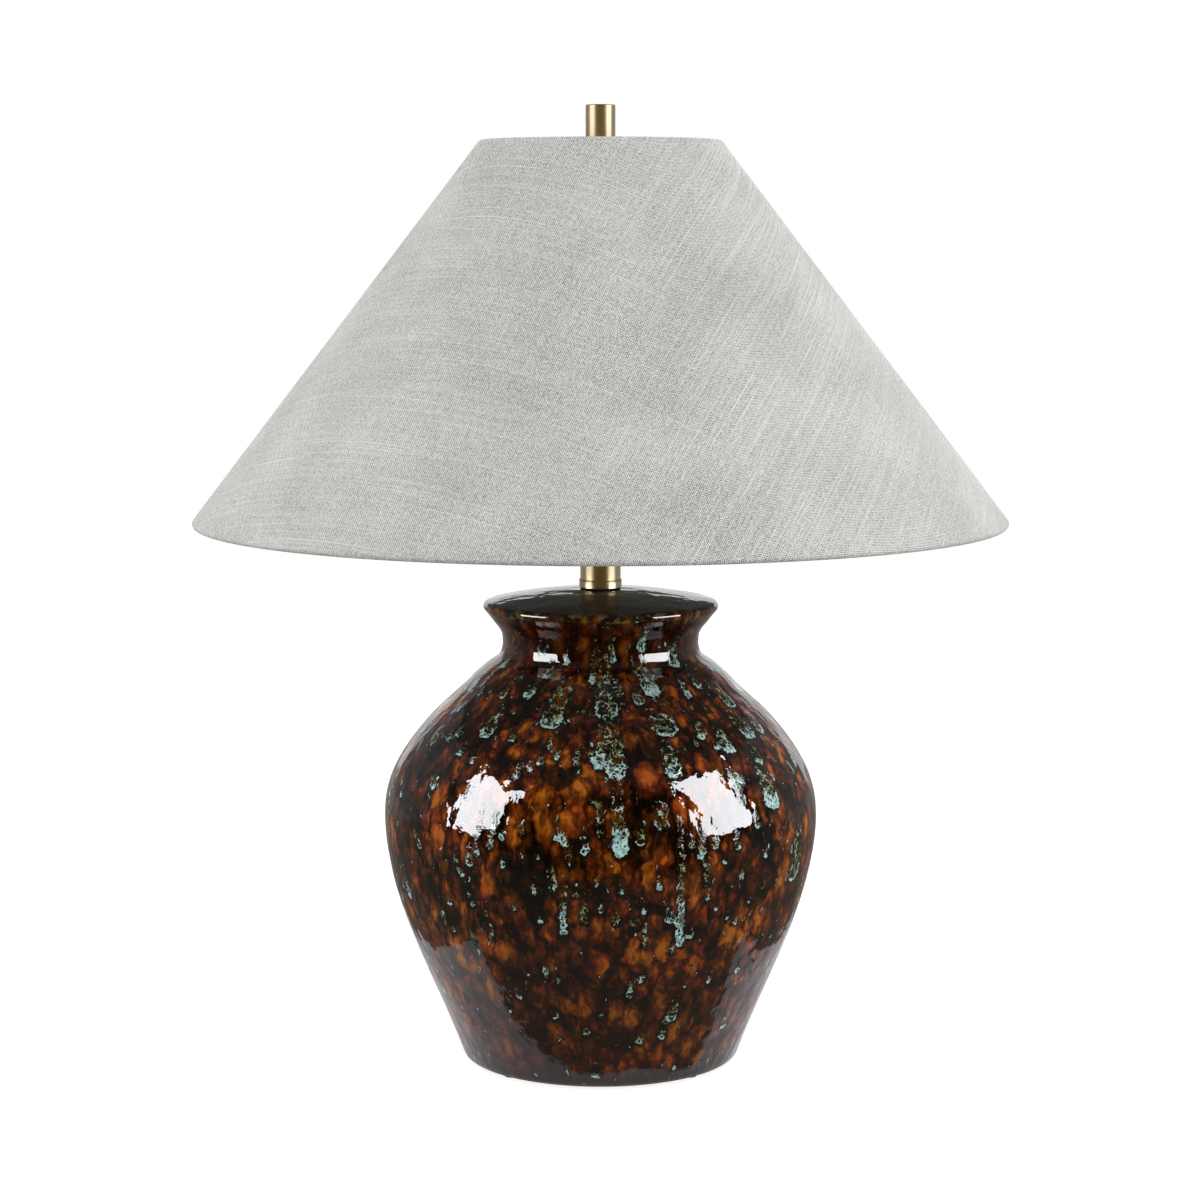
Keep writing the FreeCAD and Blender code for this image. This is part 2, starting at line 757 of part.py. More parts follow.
def finial():
    """A plain turned cylinder on a narrower foot, bored for the stud."""
    top = finial_bottom + finial_length
    edge_centre = at(finial_radius - finial_edge_radius, top - finial_edge_radius)
    bore_radius = stud_thread_radius + running_clearance
    bore_top = finial_bottom + finial_bore_depth
    shoulder = finial_bottom + finial_foot_height
    edges = [
        line(at(bore_radius, finial_bottom), at(finial_foot_radius, finial_bottom)),
        line(at(finial_foot_radius, finial_bottom), at(finial_foot_radius, shoulder)),
        line(at(finial_foot_radius, shoulder), at(finial_radius, shoulder)),
        line(at(finial_radius, shoulder), towards(edge_centre, finial_edge_radius, 0)),
        arc(edge_centre, finial_edge_radius, 0, QUARTER_TURN),
        line(towards(edge_centre, finial_edge_radius, QUARTER_TURN), at(0, top)),
        line(at(0, top), at(0, bore_top)),
        line(at(0, bore_top), at(bore_radius, bore_top)),
        line(at(bore_radius, bore_top), at(bore_radius, finial_bottom)),
    ]
    return turned(edges)


def holder_cap():
    """The lampholder's cup, threaded on the pipe by its narrow neck."""
    bowl_centre = at(holder_cap_radius - holder_cap_bowl, holder_skirt_bottom)
    inner_radius = holder_cap_radius - holder_metal
    inner_bowl = holder_cap_bowl - holder_metal
    thread_radius = pipe_radius + running_clearance
    floor_level = pipe_top + holder_metal
    edges = [
        line(at(thread_radius, holder_bottom), at(holder_neck_radius, holder_bottom)),
        line(at(holder_neck_radius, holder_bottom), at(holder_neck_radius, pipe_top)),
        line(at(holder_neck_radius, pipe_top), at(bowl_centre.x, pipe_top)),
        arc(bowl_centre, holder_cap_bowl, -QUARTER_TURN, 0),
        line(at(holder_cap_radius, holder_skirt_bottom), at(holder_cap_radius, holder_skirt_top)),
        line(at(holder_cap_radius, holder_skirt_top), at(inner_radius, holder_skirt_top)),
        line(at(inner_radius, holder_skirt_top), at(inner_radius, holder_skirt_bottom)),
        arc(bowl_centre, inner_bowl, 0, -QUARTER_TURN),
        line(at(bowl_centre.x, floor_level), at(thread_radius, floor_level)),
        line(at(thread_radius, floor_level), at(thread_radius, holder_bottom)),
    ]
    hole = set_screw_rod(set_screw_radius + seat_clearance, pipe_radius, holder_neck_radius)
    return turned(edges).cut(hole)


def set_screw_rod(radius, start_y, length):
    """A round bar through the back of the lampholder's neck."""
    centre = Vector(0, start_y, holder_bottom + holder_neck_height / 2)
    return Part.makeCylinder(radius, length, centre, BACK)


def set_screw():
    tip_y = pipe_radius + seat_clearance
    shank = set_screw_rod(set_screw_radius, tip_y, holder_neck_radius + moving_gap - tip_y)
    head = set_screw_rod(set_screw_head_radius, holder_neck_radius + moving_gap, set_screw_head_height)
    return shank.fuse(head)


def switch_notch(bottom):
    """The notch in shell and sleeve that lets them slide down over the switch shaft."""
    depth = Vector(-switch_notch_radius, -holder_cap_radius, bottom)
    slot = Part.makeBox(2 * switch_notch_radius, holder_cap_radius, switch_level - bottom, depth)
    end = Part.makeCylinder(switch_notch_radius, holder_cap_radius, at(0, switch_level), -BACK)
    return slot.fuse(end)


def holder_shell():
    """The lampholder's outer shell, with its rim turned in."""
    bore_radius = shell_radius - holder_metal
    body = turned(
        sides(
            at(bore_radius, shell_bottom),
            at(shell_radius, shell_bottom),
            at(shell_radius, shell_top),
            at(shell_radius - holder_metal - holder_lip_depth, shell_top),
            at(shell_radius - holder_metal - holder_lip_depth, shell_top - holder_metal),
            at(bore_radius, shell_top - holder_metal),
        )
    )
    return body.cut(switch_notch(shell_bottom))


def holder_sleeve():
    """The card sleeve between shell and live parts."""
    bottom = shell_bottom + sleeve_inset
    height = shell_top - sleeve_inset - bottom
    return tube(sleeve_bore_radius, sleeve_radius, bottom, height).cut(switch_notch(bottom))


def terminal_rod(side, radius, start_x, length):
    """A round bar on the axis of one of the two terminal screws."""
    start = Vector(side * start_x, 0, switch_level)
    return Part.makeCylinder(radius, length, start, RIGHT * side)


def holder_body():
    """The moulded body, with a flat for each terminal and a bore for the switch shaft."""
    body = rod(holder_body_radius, holder_body_bottom, holder_body_height)
    flat_height = switch_height + terminal_head_radius + moving_gap
    cuts = []
    for side in (-1, 1):
        corner_x = terminal_flat_x if side > 0 else -holder_body_radius
        corner = Vector(corner_x, -holder_body_radius, holder_body_bottom)
        cuts.append(Part.makeBox(terminal_flat_depth, 2 * holder_body_radius, flat_height, corner))
        shank_start = terminal_flat_x - terminal_shank_length
        shank_radius = terminal_shank_radius + seat_clearance
        cuts.append(terminal_rod(side, shank_radius, shank_start, terminal_shank_length))
    bore_radius = switch_shaft_radius + running_clearance
    bite = switch_shaft_bite + moving_gap
    bore_start = Vector(0, -holder_body_radius, switch_level)
    cuts.append(Part.makeCylinder(bore_radius, bite, bore_start, BACK))
    return body.cut(cuts)


def terminal_screws():
    screws = []
    for side in (-1, 1):
        head = terminal_rod(side, terminal_head_radius, terminal_flat_x, terminal_head_height)
        shank_start = terminal_flat_x - terminal_shank_length
        shank = terminal_rod(side, terminal_shank_radius, shank_start, terminal_shank_length)
        screws.append(head.fuse(shank))
    return Part.makeCompound(screws)


def screw_shell():
    """The threaded cup that the bulb screws into."""
    bore_radius = screw_shell_bore_radius
    base_top = holder_body_top + screw_shell_wall
    top = holder_body_top + screw_shell_height
    return turned(
        sides(
            at(screw_shell_hole_radius, holder_body_top),
            at(bore_radius + screw_shell_wall, holder_body_top),
            at(bore_radius + screw_shell_wall, top),
            at(bore_radius, top),
            at(bore_radius, base_top),
            at(screw_shell_hole_radius, base_top),
        )
    )


def centre_contact():
    """The bent strip that meets the bulb's tip."""
    base = holder_body_top
    raised = base + contact_rise
    thick = contact_thickness
    foot_end = contact_rise_start + thick
    top_end = contact_top_half_length + thick / 2
    edges = sides(
        at(-contact_half_length, base),
        at(-contact_rise_start, base),
        at(-contact_top_half_length, raised),
        at(contact_top_half_length, raised),
        at(contact_rise_start, base),
        at(contact_half_length, base),
        at(contact_half_length, base + thick),
        at(foot_end, base + thick),
        at(top_end, raised + thick),
        at(-top_end, raised + thick),
        at(-foot_end, base + thick),
        at(-contact_half_length, base + thick),
    )
    return pulled(edges, contact_width)


def switch_rod(radius, start_depth, length):
    """A round bar on the switch's axis, from a depth in front of the lamp's axis."""
    return Part.makeCylinder(radius, length, Vector(0, -start_depth, switch_level), -BACK)


def knob_start():
    """How far in front of the lamp's axis the knob begins."""
    return holder_cap_radius + knob_gap


def switch_shaft():
    inner_depth = holder_body_radius - switch_shaft_bite
    outer_depth = knob_start() + knob_socket_depth
    return switch_rod(switch_shaft_radius, inner_depth, outer_depth - inner_depth)


def switch_knob():
    """A flat turn key on a round hub, with rounded corners."""
    start = knob_start()
    blank = switch_rod(knob_radius, start, knob_length)
    edges = [edge for edge in blank.Edges if edge.CenterOfMass.y < -start - knob_length / 2]
    edges = [edge for edge in edges if edge.Closed]
    blank = blank.makeFillet(knob_edge_radius, edges)
    corner = Vector(-knob_radius, -start - knob_length, switch_level - knob_thickness / 2)
    flat = Part.makeBox(2 * knob_radius, knob_length, knob_thickness, corner)
    socket = switch_rod(switch_shaft_radius + seat_clearance, start, knob_socket_depth + moving_gap)
    return blank.common(flat).cut(socket)


def bulb_glass():
    """The hollow glass envelope, a globe on a flared neck."""
    centre = at(0, bulb_centre_level)
    foot = at(bulb_neck_radius, bulb_glass_bottom)
    equator = at(bulb_radius, bulb_centre_level)
    crown_level = bulb_centre_level + bulb_radius
    inner_radius = bulb_radius - bulb_glass_wall
    points = between(foot, equator, bulb_neck_shares)
    curve = smooth_curve(points, QUARTER_TURN, QUARTER_TURN)
    inner_points = moved_inwards(points, curve, bulb_glass_wall)
    edges = [
        line(inner_points[0], foot),
        curve.toShape(),
        arc(centre, bulb_radius, 0, QUARTER_TURN),
        line(at(0, crown_level), at(0, crown_level - bulb_glass_wall)),
        arc(centre, inner_radius, QUARTER_TURN, 0),
    ]
    edges.extend(run(inner_points[::-1]))
    return turned(edges)


def bulb_base():
    """The screw base, a thin cup closed in at its foot."""
    inner_radius = bulb_base_radius - bulb_base_wall
    mouth_radius = bulb_base_radius - bulb_base_edge_radius
    edge_centre = at(mouth_radius, bulb_base_bottom + bulb_base_edge_radius)
    floor_top = bulb_base_bottom + bulb_base_wall
    edges = [
        line(at(bulb_contact_radius, bulb_base_bottom), at(mouth_radius, bulb_base_bottom)),
        arc(edge_centre, bulb_base_edge_radius, -QUARTER_TURN, 0),
    ]
    rest = (
        at(bulb_base_radius, edge_centre.z),
        at(bulb_base_radius, bulb_base_top),
        at(inner_radius, bulb_base_top),
        at(inner_radius, edge_centre.z),
        at(mouth_radius, floor_top),
        at(bulb_contact_radius, floor_top),
        at(bulb_contact_radius, bulb_base_bottom),
    )
    edges.extend(run(rest))
    return turned(edges)


def bulb_insulator():
    """The glass cone between the screw base and the tip contact."""
    wide_radius = bulb_base_radius - bulb_base_edge_radius
    return turned(
        sides(
            at(0, bulb_insulator_bottom),
            at(bulb_insulator_tip_radius, bulb_insulator_bottom),
            at(wide_radius, bulb_base_bottom),
            at(0, bulb_base_bottom),
        )
    )


def bulb_contact():
    """The tip contact, a low button."""
    return rod(bulb_contact_radius, bulb_tip_level, bulb_contact_height)


def on_slant(ring, along, out):
    """A point by its distance along the shade's slant and outwards from its ring line."""
    return ring + slant_up * along + slant_out * out


def hem_folds(ring, start_angle, end_angle):
    """The inner face of a hem: a few flat folds that clear the wire ring."""
    fold_angle = (end_angle - start_angle) / hem_fold_count
    fold_radius = roll_inner_radius / math.cos(math.radians(fold_angle / 2))
    points = [towards(ring, roll_inner_radius, start_angle)]
    for index in range(hem_fold_count):
        fold_middle = start_angle + index * fold_angle + fold_angle / 2
        points.append(towards(ring, fold_radius, fold_middle))
    points.append(towards(ring, roll_inner_radius, end_angle))
    return points


def linen_cover():
    """The linen skin of the cone, rolled round the wire ring at both edges."""
    out_angle = math.degrees(math.atan2(slant_out.z, slant_out.x))
    lower_end = out_angle - bottom_wrap_angle
    upper_end = out_angle + top_wrap_angle
    upper_folds = hem_folds(upper_ring, upper_end, out_angle)
    lower_folds = hem_folds(lower_ring, out_angle, lower_end)
    edges = [
        arc(lower_ring, roll_radius, lower_end, out_angle),
        line(on_slant(lower_ring, 0, roll_radius), on_slant(upper_ring, 0, roll_radius)),
        arc(upper_ring, roll_radius, out_angle, upper_end),
    ]
    upper_hem = towards(upper_ring, roll_radius, upper_end)
    lower_hem = towards(lower_ring, roll_radius, lower_end)
    edges.extend(run([upper_hem, *upper_folds, *lower_folds, lower_hem]))
    return turned(edges)


def shade_liner():
    """The stiff liner that the linen is bonded to, from one wire ring to the other."""
    outer = roll_inner_radius - seat_clearance
    inner = outer - liner_thickness
    start = roll_inner_radius + liner_edge_gap
    return turned(
        sides(
            on_slant(lower_ring, start, inner),
            on_slant(lower_ring, start, outer),
            on_slant(upper_ring, -start, outer),
            on_slant(upper_ring, -start, inner),
        )
    )


def wire_ring(ring):
    return Part.makeTorus(ring.x, ring_wire_radius, at(0, ring.z))


def spider_arm(degrees):
    """An arm from the washer's rim out and up to the top ring."""
    arm_level = washer_bottom + spider_washer_thickness / 2
    start = at(spider_washer_radius - spider_weld_bite, arm_level)
    bend = at(upper_ring.x - spider_bend_radius, arm_level)
    bend_centre = bend + UP * spider_bend_radius
    weld_level = upper_ring.z - ring_wire_radius + spider_weld_bite
    edges = [
        line(start, bend),
        arc(bend_centre, spider_bend_radius, -QUARTER_TURN, 0),
        line(towards(bend_centre, spider_bend_radius, 0), at(upper_ring.x, weld_level)),
    ]
    section = Part.Wire(Part.Circle(start, RIGHT, spider_wire_radius).toShape())
    arm = outward(Part.Wire(edges).makePipeShell([section], True, False))
    arm.rotate(ORIGIN, UP, degrees)
    return arm


def shade_spider():
    """The shade's fitting: a washer and three arms welded to the top ring."""
    body = wire_ring(upper_ring)
    body = body.fuse(rod(spider_washer_radius, washer_bottom, spider_washer_thickness))
    for index in range(spider_arm_count):
        degrees = spider_arm_angle + index * FULL_TURN / spider_arm_count
        body = body.fuse(spider_arm(degrees))
    return body.cut(rod(stud_thread_radius + spider_washer_fit, washer_bottom, spider_washer_thickness))


def export(name, shape):
    shape.exportStep("parts/" + name + ".step")
    sound = "ok" if shape.isValid() else "NOT VALID"
    print(name, len(shape.Solids), "solid(s)", round(shape.Volume), sound)


os.makedirs("parts", exist_ok=True)

export("foot_pads", foot_pads())
export("vase", vase())
export("outlet_bushing", outlet_bushing())
export("lamp_pipe", tube(pipe_bore_radius, pipe_radius, pipe_bottom, pipe_top - pipe_bottom))
export("rubber_washer", flat_washer(rubber_washer_radius, rubber_washer_bottom, rubber_washer_thickness))
export("steel_washer", flat_washer(steel_washer_radius, steel_washer_bottom, steel_washer_thickness))
export("lock_washer", lock_washer())
export("lower_nut", pipe_nut(lower_nut_bottom))
export("neck_gasket", flat_washer(collar_radius - gasket_inset, neck_seat_level, gasket_thickness))
export("neck_collar", neck_collar())
export("neck_tube", tube(neck_radius - neck_wall, neck_radius, neck_bottom, neck_length))
export("neck_cap", neck_cap())
export("harp_saddle", harp_saddle())
export("saddle_nut", pipe_nut(saddle_top))
export("holder_cap", holder_cap())
export("set_screw", set_screw())
export("holder_shell", holder_shell())
export("holder_sleeve", holder_sleeve())
export("holder_body", holder_body())
export("terminal_screws", terminal_screws())
export("screw_shell", screw_shell())
export("centre_contact", centre_contact())
export("switch_shaft", switch_shaft())
export("switch_knob", switch_knob())
export("bulb_glass", bulb_glass())
export("bulb_base", bulb_base())
export("bulb_insulator", bulb_insulator())
export("bulb_contact", bulb_contact())
export("harp", harp())
export("left_ferrule", ferrule(-1))
export("right_ferrule", ferrule(1))
export("harp_stud", harp_stud())
export("shade_spider", shade_spider())
export("bottom_ring", wire_ring(lower_ring))
export("shade_liner", shade_liner())
export("linen_cover", linen_cover())
export("finial", finial())
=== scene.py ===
"""Table lamp with a drip-glazed vase, a brass neck and a linen shade.

Metres. +Z is up, the lamp's axis is the Z axis and the front faces -Y.
"""

import bpy
import math
import numpy as np
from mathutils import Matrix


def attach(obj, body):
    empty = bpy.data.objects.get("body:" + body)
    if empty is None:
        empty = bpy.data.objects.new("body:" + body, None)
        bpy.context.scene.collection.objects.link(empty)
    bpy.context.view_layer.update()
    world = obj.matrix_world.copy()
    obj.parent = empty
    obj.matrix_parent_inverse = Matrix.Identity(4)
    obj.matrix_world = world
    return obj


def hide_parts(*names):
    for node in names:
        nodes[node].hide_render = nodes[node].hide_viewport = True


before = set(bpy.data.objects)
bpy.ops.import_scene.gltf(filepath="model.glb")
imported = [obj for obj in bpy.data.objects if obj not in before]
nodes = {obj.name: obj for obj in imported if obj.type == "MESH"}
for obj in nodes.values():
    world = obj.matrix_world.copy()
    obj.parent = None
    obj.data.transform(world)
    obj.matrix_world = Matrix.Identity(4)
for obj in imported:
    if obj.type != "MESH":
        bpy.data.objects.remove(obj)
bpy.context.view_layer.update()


# Camera and studio lamps

camera_place = (-0.0003, -1.8753, 0.5207)
camera_dip = 6.96
lens_millimetres = 90.07
sensor_millimetres = 36
softbox_aim_level = 0.28


def clear_selection():
    bpy.ops.object.select_all(action="DESELECT")


def select_only(piece):
    clear_selection()
    bpy.context.view_layer.objects.active = piece
    piece.select_set(True)


def set_camera():
    """The photo's camera, which looks down by camera_dip degrees."""
    tilt = math.radians(90 - camera_dip)
    bpy.ops.object.camera_add(location=camera_place, rotation=(tilt, 0, 0))
    camera = bpy.context.object
    camera.name = "photo_camera"
    camera.data.lens = lens_millimetres
    camera.data.sensor_width = sensor_millimetres
    camera.data.clip_end = 30
    bpy.context.scene.camera = camera


def add_softbox(name, side_angle, lift_angle, distance, size, radiance):
    """A rectangular lamp that faces the vase, side_angle degrees round from the front."""
    side, lift = math.radians(side_angle), math.radians(lift_angle)
    place = (distance * math.sin(side) * math.cos(lift),
             -distance * math.cos(side) * math.cos(lift),
             softbox_aim_level + distance * math.sin(lift))
    bpy.ops.object.light_add(type="AREA", location=place,
                             rotation=(math.radians(90) - lift, 0, side))
    lamp = bpy.context.object
    lamp.name = name
    lamp.data.shape = "RECTANGLE"
    lamp.data.size, lamp.data.size_y = size
    lamp.data.energy = radiance * math.pi * size[0] * size[1]
    lamp.visible_camera = False
    return lamp


# Node helpers

def put_in(tree, node, inputs):
    """Links sockets into a node's inputs, and writes plain values on them."""
    for name, value in inputs.items():
        if isinstance(value, bpy.types.NodeSocket):
            tree.links.new(value, node.inputs[name])
        else:
            node.inputs[name].default_value = value


def add_node(tree, kind, inputs=None, **settings):
    """A shader node with its settings, and with values or other sockets in its inputs."""
    made = tree.nodes.new("ShaderNode" + kind)
    for name, value in settings.items():
        setattr(made, name, value)
    put_in(tree, made, inputs or {})
    return made


def calc(tree, operation, first, second=0.0, clamp=False):
    made = add_node(tree, "Math", {0: first, 1: second}, operation=operation, use_clamp=clamp)
    return made.outputs[0]


def plus(tree, first, second, clamp=False):
    return calc(tree, "ADD", first, second, clamp)


def minus(tree, first, second, clamp=False):
    return calc(tree, "SUBTRACT", first, second, clamp)


def times(tree, first, *others):
    product = first
    for other in others:
        product = calc(tree, "MULTIPLY", product, other)
    return product


def off_middle(tree, value):
    """How far a noise value lies above or below its middle, which is a half."""
    return minus(tree, value, 0.5)


def add_parts(tree, start, *parts):
    """start plus each noise value's distance from its middle times its share."""
    total = start
    for value, share in parts:
        total = plus(tree, total, times(tree, off_middle(tree, value), share))
    return total


def smooth_rise(tree, value, low, high):
    """0 below low, 1 above high and a soft step between them."""
    made = add_node(tree, "MapRange", {0: value, 1: low, 2: high},
                    interpolation_type="SMOOTHSTEP")
    return made.outputs[0]


def smooth_fall(tree, value, low, high):
    """1 below low, 0 above high and a soft step between them."""
    return minus(tree, 1.0, smooth_rise(tree, value, low, high))


def with_alpha(colour):
    return (*colour, 1) if isinstance(colour, tuple) else colour


def mix_colours(tree, share, first, second, blend="MIX"):
    """Colours are sockets or (red, green, blue)."""
    made = add_node(tree, "Mix", {0: share, 6: with_alpha(first), 7: with_alpha(second)},
                    data_type="RGBA", blend_type=blend)
    return made.outputs[2]


def colour_ramp(tree, value, stops):
    made = add_node(tree, "ValToRGB", {0: value})
    band = made.color_ramp
    while len(band.elements) < len(stops):
        band.elements.new(0.5)
    for element, (position, colour) in zip(band.elements, stops):
        element.position = position
        element.color = with_alpha(colour)
    return made.outputs[0]


def vector_calc(tree, operation, first, second):
    return add_node(tree, "VectorMath", {0: first, 1: second}, operation=operation).outputs[0]


def scaled(tree, vector, factor):
    made = add_node(tree, "VectorMath", {0: vector, "Scale": factor}, operation="SCALE")
    return made.outputs[0]


def stretched(tree, place, scale):
    return add_node(tree, "Mapping", {"Vector": place, "Scale": scale}).outputs[0]


def vector_parts(tree, vector):
    return add_node(tree, "SeparateXYZ", {0: vector}).outputs


def colour_parts(tree, colour):
    return add_node(tree, "SeparateColor", {0: colour}).outputs


def cloud(tree, place, scale, detail=2.0, roughness=0.5):
    made = add_node(tree, "TexNoise", {"Vector": place, "Scale": scale, "Detail": detail,
                                       "Roughness": roughness})
    return made.outputs[0]


def coloured_cloud(tree, place, scale):
    return add_node(tree, "TexNoise", {"Vector": place, "Scale": scale}).outputs[1]


def noise_shove(tree, place, scale, reach):
    """A shift whose length and direction come from noise."""
    noise = coloured_cloud(tree, place, scale)
    return scaled(tree, vector_calc(tree, "SUBTRACT", noise, (0.5, 0.5, 0.5)), reach)


def voronoi(tree, place, scale, feature="F1"):
    return add_node(tree, "TexVoronoi", {"Vector": place, "Scale": scale}, feature=feature).outputs


def bump(tree, height, distance, under=None):
    inputs = {"Height": height, "Distance": distance}
    if under is not None:
        inputs["Normal"] = under
    return add_node(tree, "Bump", inputs).outputs[0]


def object_place(tree):
    return add_node(tree, "TexCoord").outputs["Object"]


def attribute(tree, name, output="Fac"):
    return add_node(tree, "Attribute", attribute_name=name).outputs[output]


def ray_kinds(tree):
    """Whether a ray shows a surface to the camera, and whether it is a mirrored one."""
    path = add_node(tree, "LightPath").outputs
    seen = calc(tree, "MAXIMUM", path["Is Camera Ray"], path["Is Transmission Ray"])
    return seen, path["Is Glossy Ray"]


def empty_tree(owner):
    """The cleared node tree of a material or a world."""
    owner.use_nodes = True
    owner.node_tree.nodes.clear()
    return owner.node_tree


def new_finish(name):
    """A material with one Principled shader; returns the material, its tree and the shader."""
    finish = bpy.data.materials.new(name)
    tree = empty_tree(finish)
    shader = add_node(tree, "BsdfPrincipled")
    add_node(tree, "OutputMaterial", {"Surface": shader.outputs[0]})
    return finish, tree, shader


# Effects that several finishes use

def new_group(name, inputs, outputs):
    """A node group. An input's first value is a number, or None for a vector."""
    group = bpy.data.node_groups.new(name, "ShaderNodeTree")
    for label, value in inputs.items():
        kind = "NodeSocketVector" if value is None else "NodeSocketFloat"
        socket = group.interface.new_socket(label, in_out="INPUT", socket_type=kind)
        if value is not None:
            socket.default_value = value
    for label in outputs:
        group.interface.new_socket(label, in_out="OUTPUT", socket_type="NodeSocketFloat")
    start = group.nodes.new("NodeGroupInput")
    end = group.nodes.new("NodeGroupOutput")
    return group, start.outputs, end


def place_group(tree, group, inputs):
    return add_node(tree, "Group", inputs, node_tree=group).outputs


def make_metal_grain():
    """Fine turned or drawn lines, soft handling marks and a slow tarnish."""
    group, given, end = new_group("metal_grain", {"Line Scale": 1800.0},
                                  ["Lines", "Marks", "Tarnish"])
    place = object_place(group)
    drawn = stretched(group, place, (0.06, 0.06, 1.0))
    put_in(group, end, {
        "Lines": cloud(group, drawn, given["Line Scale"], 3.0, 0.6),
        "Marks": cloud(group, place, 90.0, 4.0, 0.6),
        "Tarnish": cloud(group, place, 26.0, 3.0, 0.55)})
    return group


def make_fine_grain():
    """Soft speckle and slow shade changes for plastics, card, rubber, felt, liner and glass."""
    group, given, end = new_group("fine_grain", {"Grain Scale": 900.0}, ["Grain", "Clouds"])
    place = object_place(group)
    put_in(group, end, {
        "Grain": cloud(group, place, given["Grain Scale"], 3.0, 0.7),
        "Clouds": cloud(group, place, 40.0, 3.0, 0.5)})
    return group


thread_turn = 65.0
thread_pitch = 0.00150
slub_rows = 2200.0
slub_row_shift = 790.0
slub_edge = 0.06


def thick_threads(tree, along, across, density, start, rarity):
    """Long thin lines where single threads are thicker, each row shifted against the next."""
    shifted = plus(tree, times(tree, along, density), times(tree, across, slub_row_shift))
    rows = times(tree, across, slub_rows)
    place = add_node(tree, "CombineXYZ", {0: shifted, 1: rows, 2: start}).outputs[0]
    return smooth_rise(tree, cloud(tree, place, 1.0, 0.0), rarity, rarity + slub_edge)


def slub_lines(tree, cloth, threads):
    """Thick threads: falling ones mostly on the left, rising ones mostly on the right."""
    sideways = vector_parts(tree, cloth)[0]
    right = smooth_rise(tree, sideways, -0.06, 0.10)
    far_right = smooth_rise(tree, sideways, 0.12, 0.25)
    rising_share = plus(tree, times(tree, right, 0.7), 0.3)
    rising_share = minus(tree, rising_share, times(tree, far_right, 0.5))
    falling_share = minus(tree, 0.90, times(tree, right, 0.6))
    rising = thick_threads(tree, threads[0], threads[1], density=12.0, start=3.0, rarity=0.592)
    falling = thick_threads(tree, threads[1], threads[0], density=8.0, start=7.0, rarity=0.625)
    return calc(tree, "MAXIMUM", times(tree, rising, rising_share),
                times(tree, falling, falling_share))


def make_linen_weave():
    """Plain weave with uneven threads and slubs. Coordinates are metres on the flat cloth."""
    group, given, end = new_group("linen_weave", {"Cloth": None, "Thread Turn": thread_turn},
                                  ["Tone", "Slub", "Height"])
    turn = times(group, given["Thread Turn"], -math.pi / 180)
    turned = add_node(group, "VectorRotate", {"Vector": given["Cloth"], "Angle": turn},
                      rotation_type="Z_AXIS").outputs[0]
    drift = scaled(group, coloured_cloud(group, turned, 45.0), 0.0006)
    laid = vector_calc(group, "ADD", turned, drift)
    straight = vector_calc(group, "ADD", turned, scaled(group, drift, 0.2))

    over, under = (calc(group, "SINE", times(group, axis, 2 * math.pi / thread_pitch))
                   for axis in list(vector_parts(group, laid))[:2])
    dotted = plus(group, times(group, plus(group, over, under), 0.5), 0.8, clamp=True)
    slub = times(group, slub_lines(group, given["Cloth"], vector_parts(group, straight)), dotted)

    rising = cloud(group, stretched(group, laid, (70, 1150, 1)), 1.0, 1.0)
    falling = cloud(group, stretched(group, laid, (1150, 70, 1)), 1.0, 1.0)
    threads = add_parts(group, 0.0, (rising, 0.24), (falling, 0.20))
    knots = times(group, over, under)
    fibres = off_middle(group, cloud(group, laid, 950.0, 1.0, 0.6))
    grain = plus(group, times(group, knots, 1.6), times(group, fibres, 3.3))
    evenness = add_parts(group, 0.95, (cloud(group, laid, 16.0, 1.0), 1.8))
    tone = plus(group, times(group, grain, evenness), threads)
    put_in(group, end, {
        "Tone": plus(group, tone, 0.5, clamp=True),
        "Slub": slub,
        "Height": plus(group, tone, times(group, slub, 0.8))})
    return group


metal_grain = make_metal_grain()
fine_grain = make_fine_grain()
linen_weave = make_linen_weave()


# Metals, plastics, cloth and glass

def metal_finish(name, bright, worn, roughness, spread, line_scale, line_depth):
    finish, tree, shader = new_finish(name)
    grain = place_group(tree, metal_grain, {"Line Scale": line_scale})
    worn_share = smooth_rise(tree, grain["Tarnish"], 0.35, 0.72)
    marks = times(tree, off_middle(tree, grain["Marks"]), spread)
    lines = times(tree, off_middle(tree, grain["Lines"]), spread)
    put_in(tree, shader, {
        "Base Color": mix_colours(tree, worn_share, bright, worn),
        "Metallic": 1.0,
        "Roughness": plus(tree, plus(tree, marks, lines), roughness, clamp=True),
        "Normal": bump(tree, grain["Lines"], line_depth)})
    return finish


def dull_finish(name, light, dark, roughness, grain_scale, grain_depth, gloss):
    finish, tree, shader = new_finish(name)
    grain = place_group(tree, fine_grain, {"Grain Scale": grain_scale})
    blend = times(tree, plus(tree, grain["Grain"], grain["Clouds"]), 0.5)
    put_in(tree, shader, {
        "Base Color": mix_colours(tree, smooth_rise(tree, blend, 0.3, 0.7), dark, light),
        "Roughness": plus(tree, times(tree, off_middle(tree, grain["Clouds"]), 0.2), roughness),
        "Specular IOR Level": gloss,
        "Normal": bump(tree, grain["Grain"], grain_depth)})
    return finish


linen_stops = [(0.0, (0.29, 0.285, 0.26)), (0.5, (0.755, 0.745, 0.715)), (1.0, (0.96, 0.95, 0.92))]
slub_colour = (1.0, 0.995, 0.97)


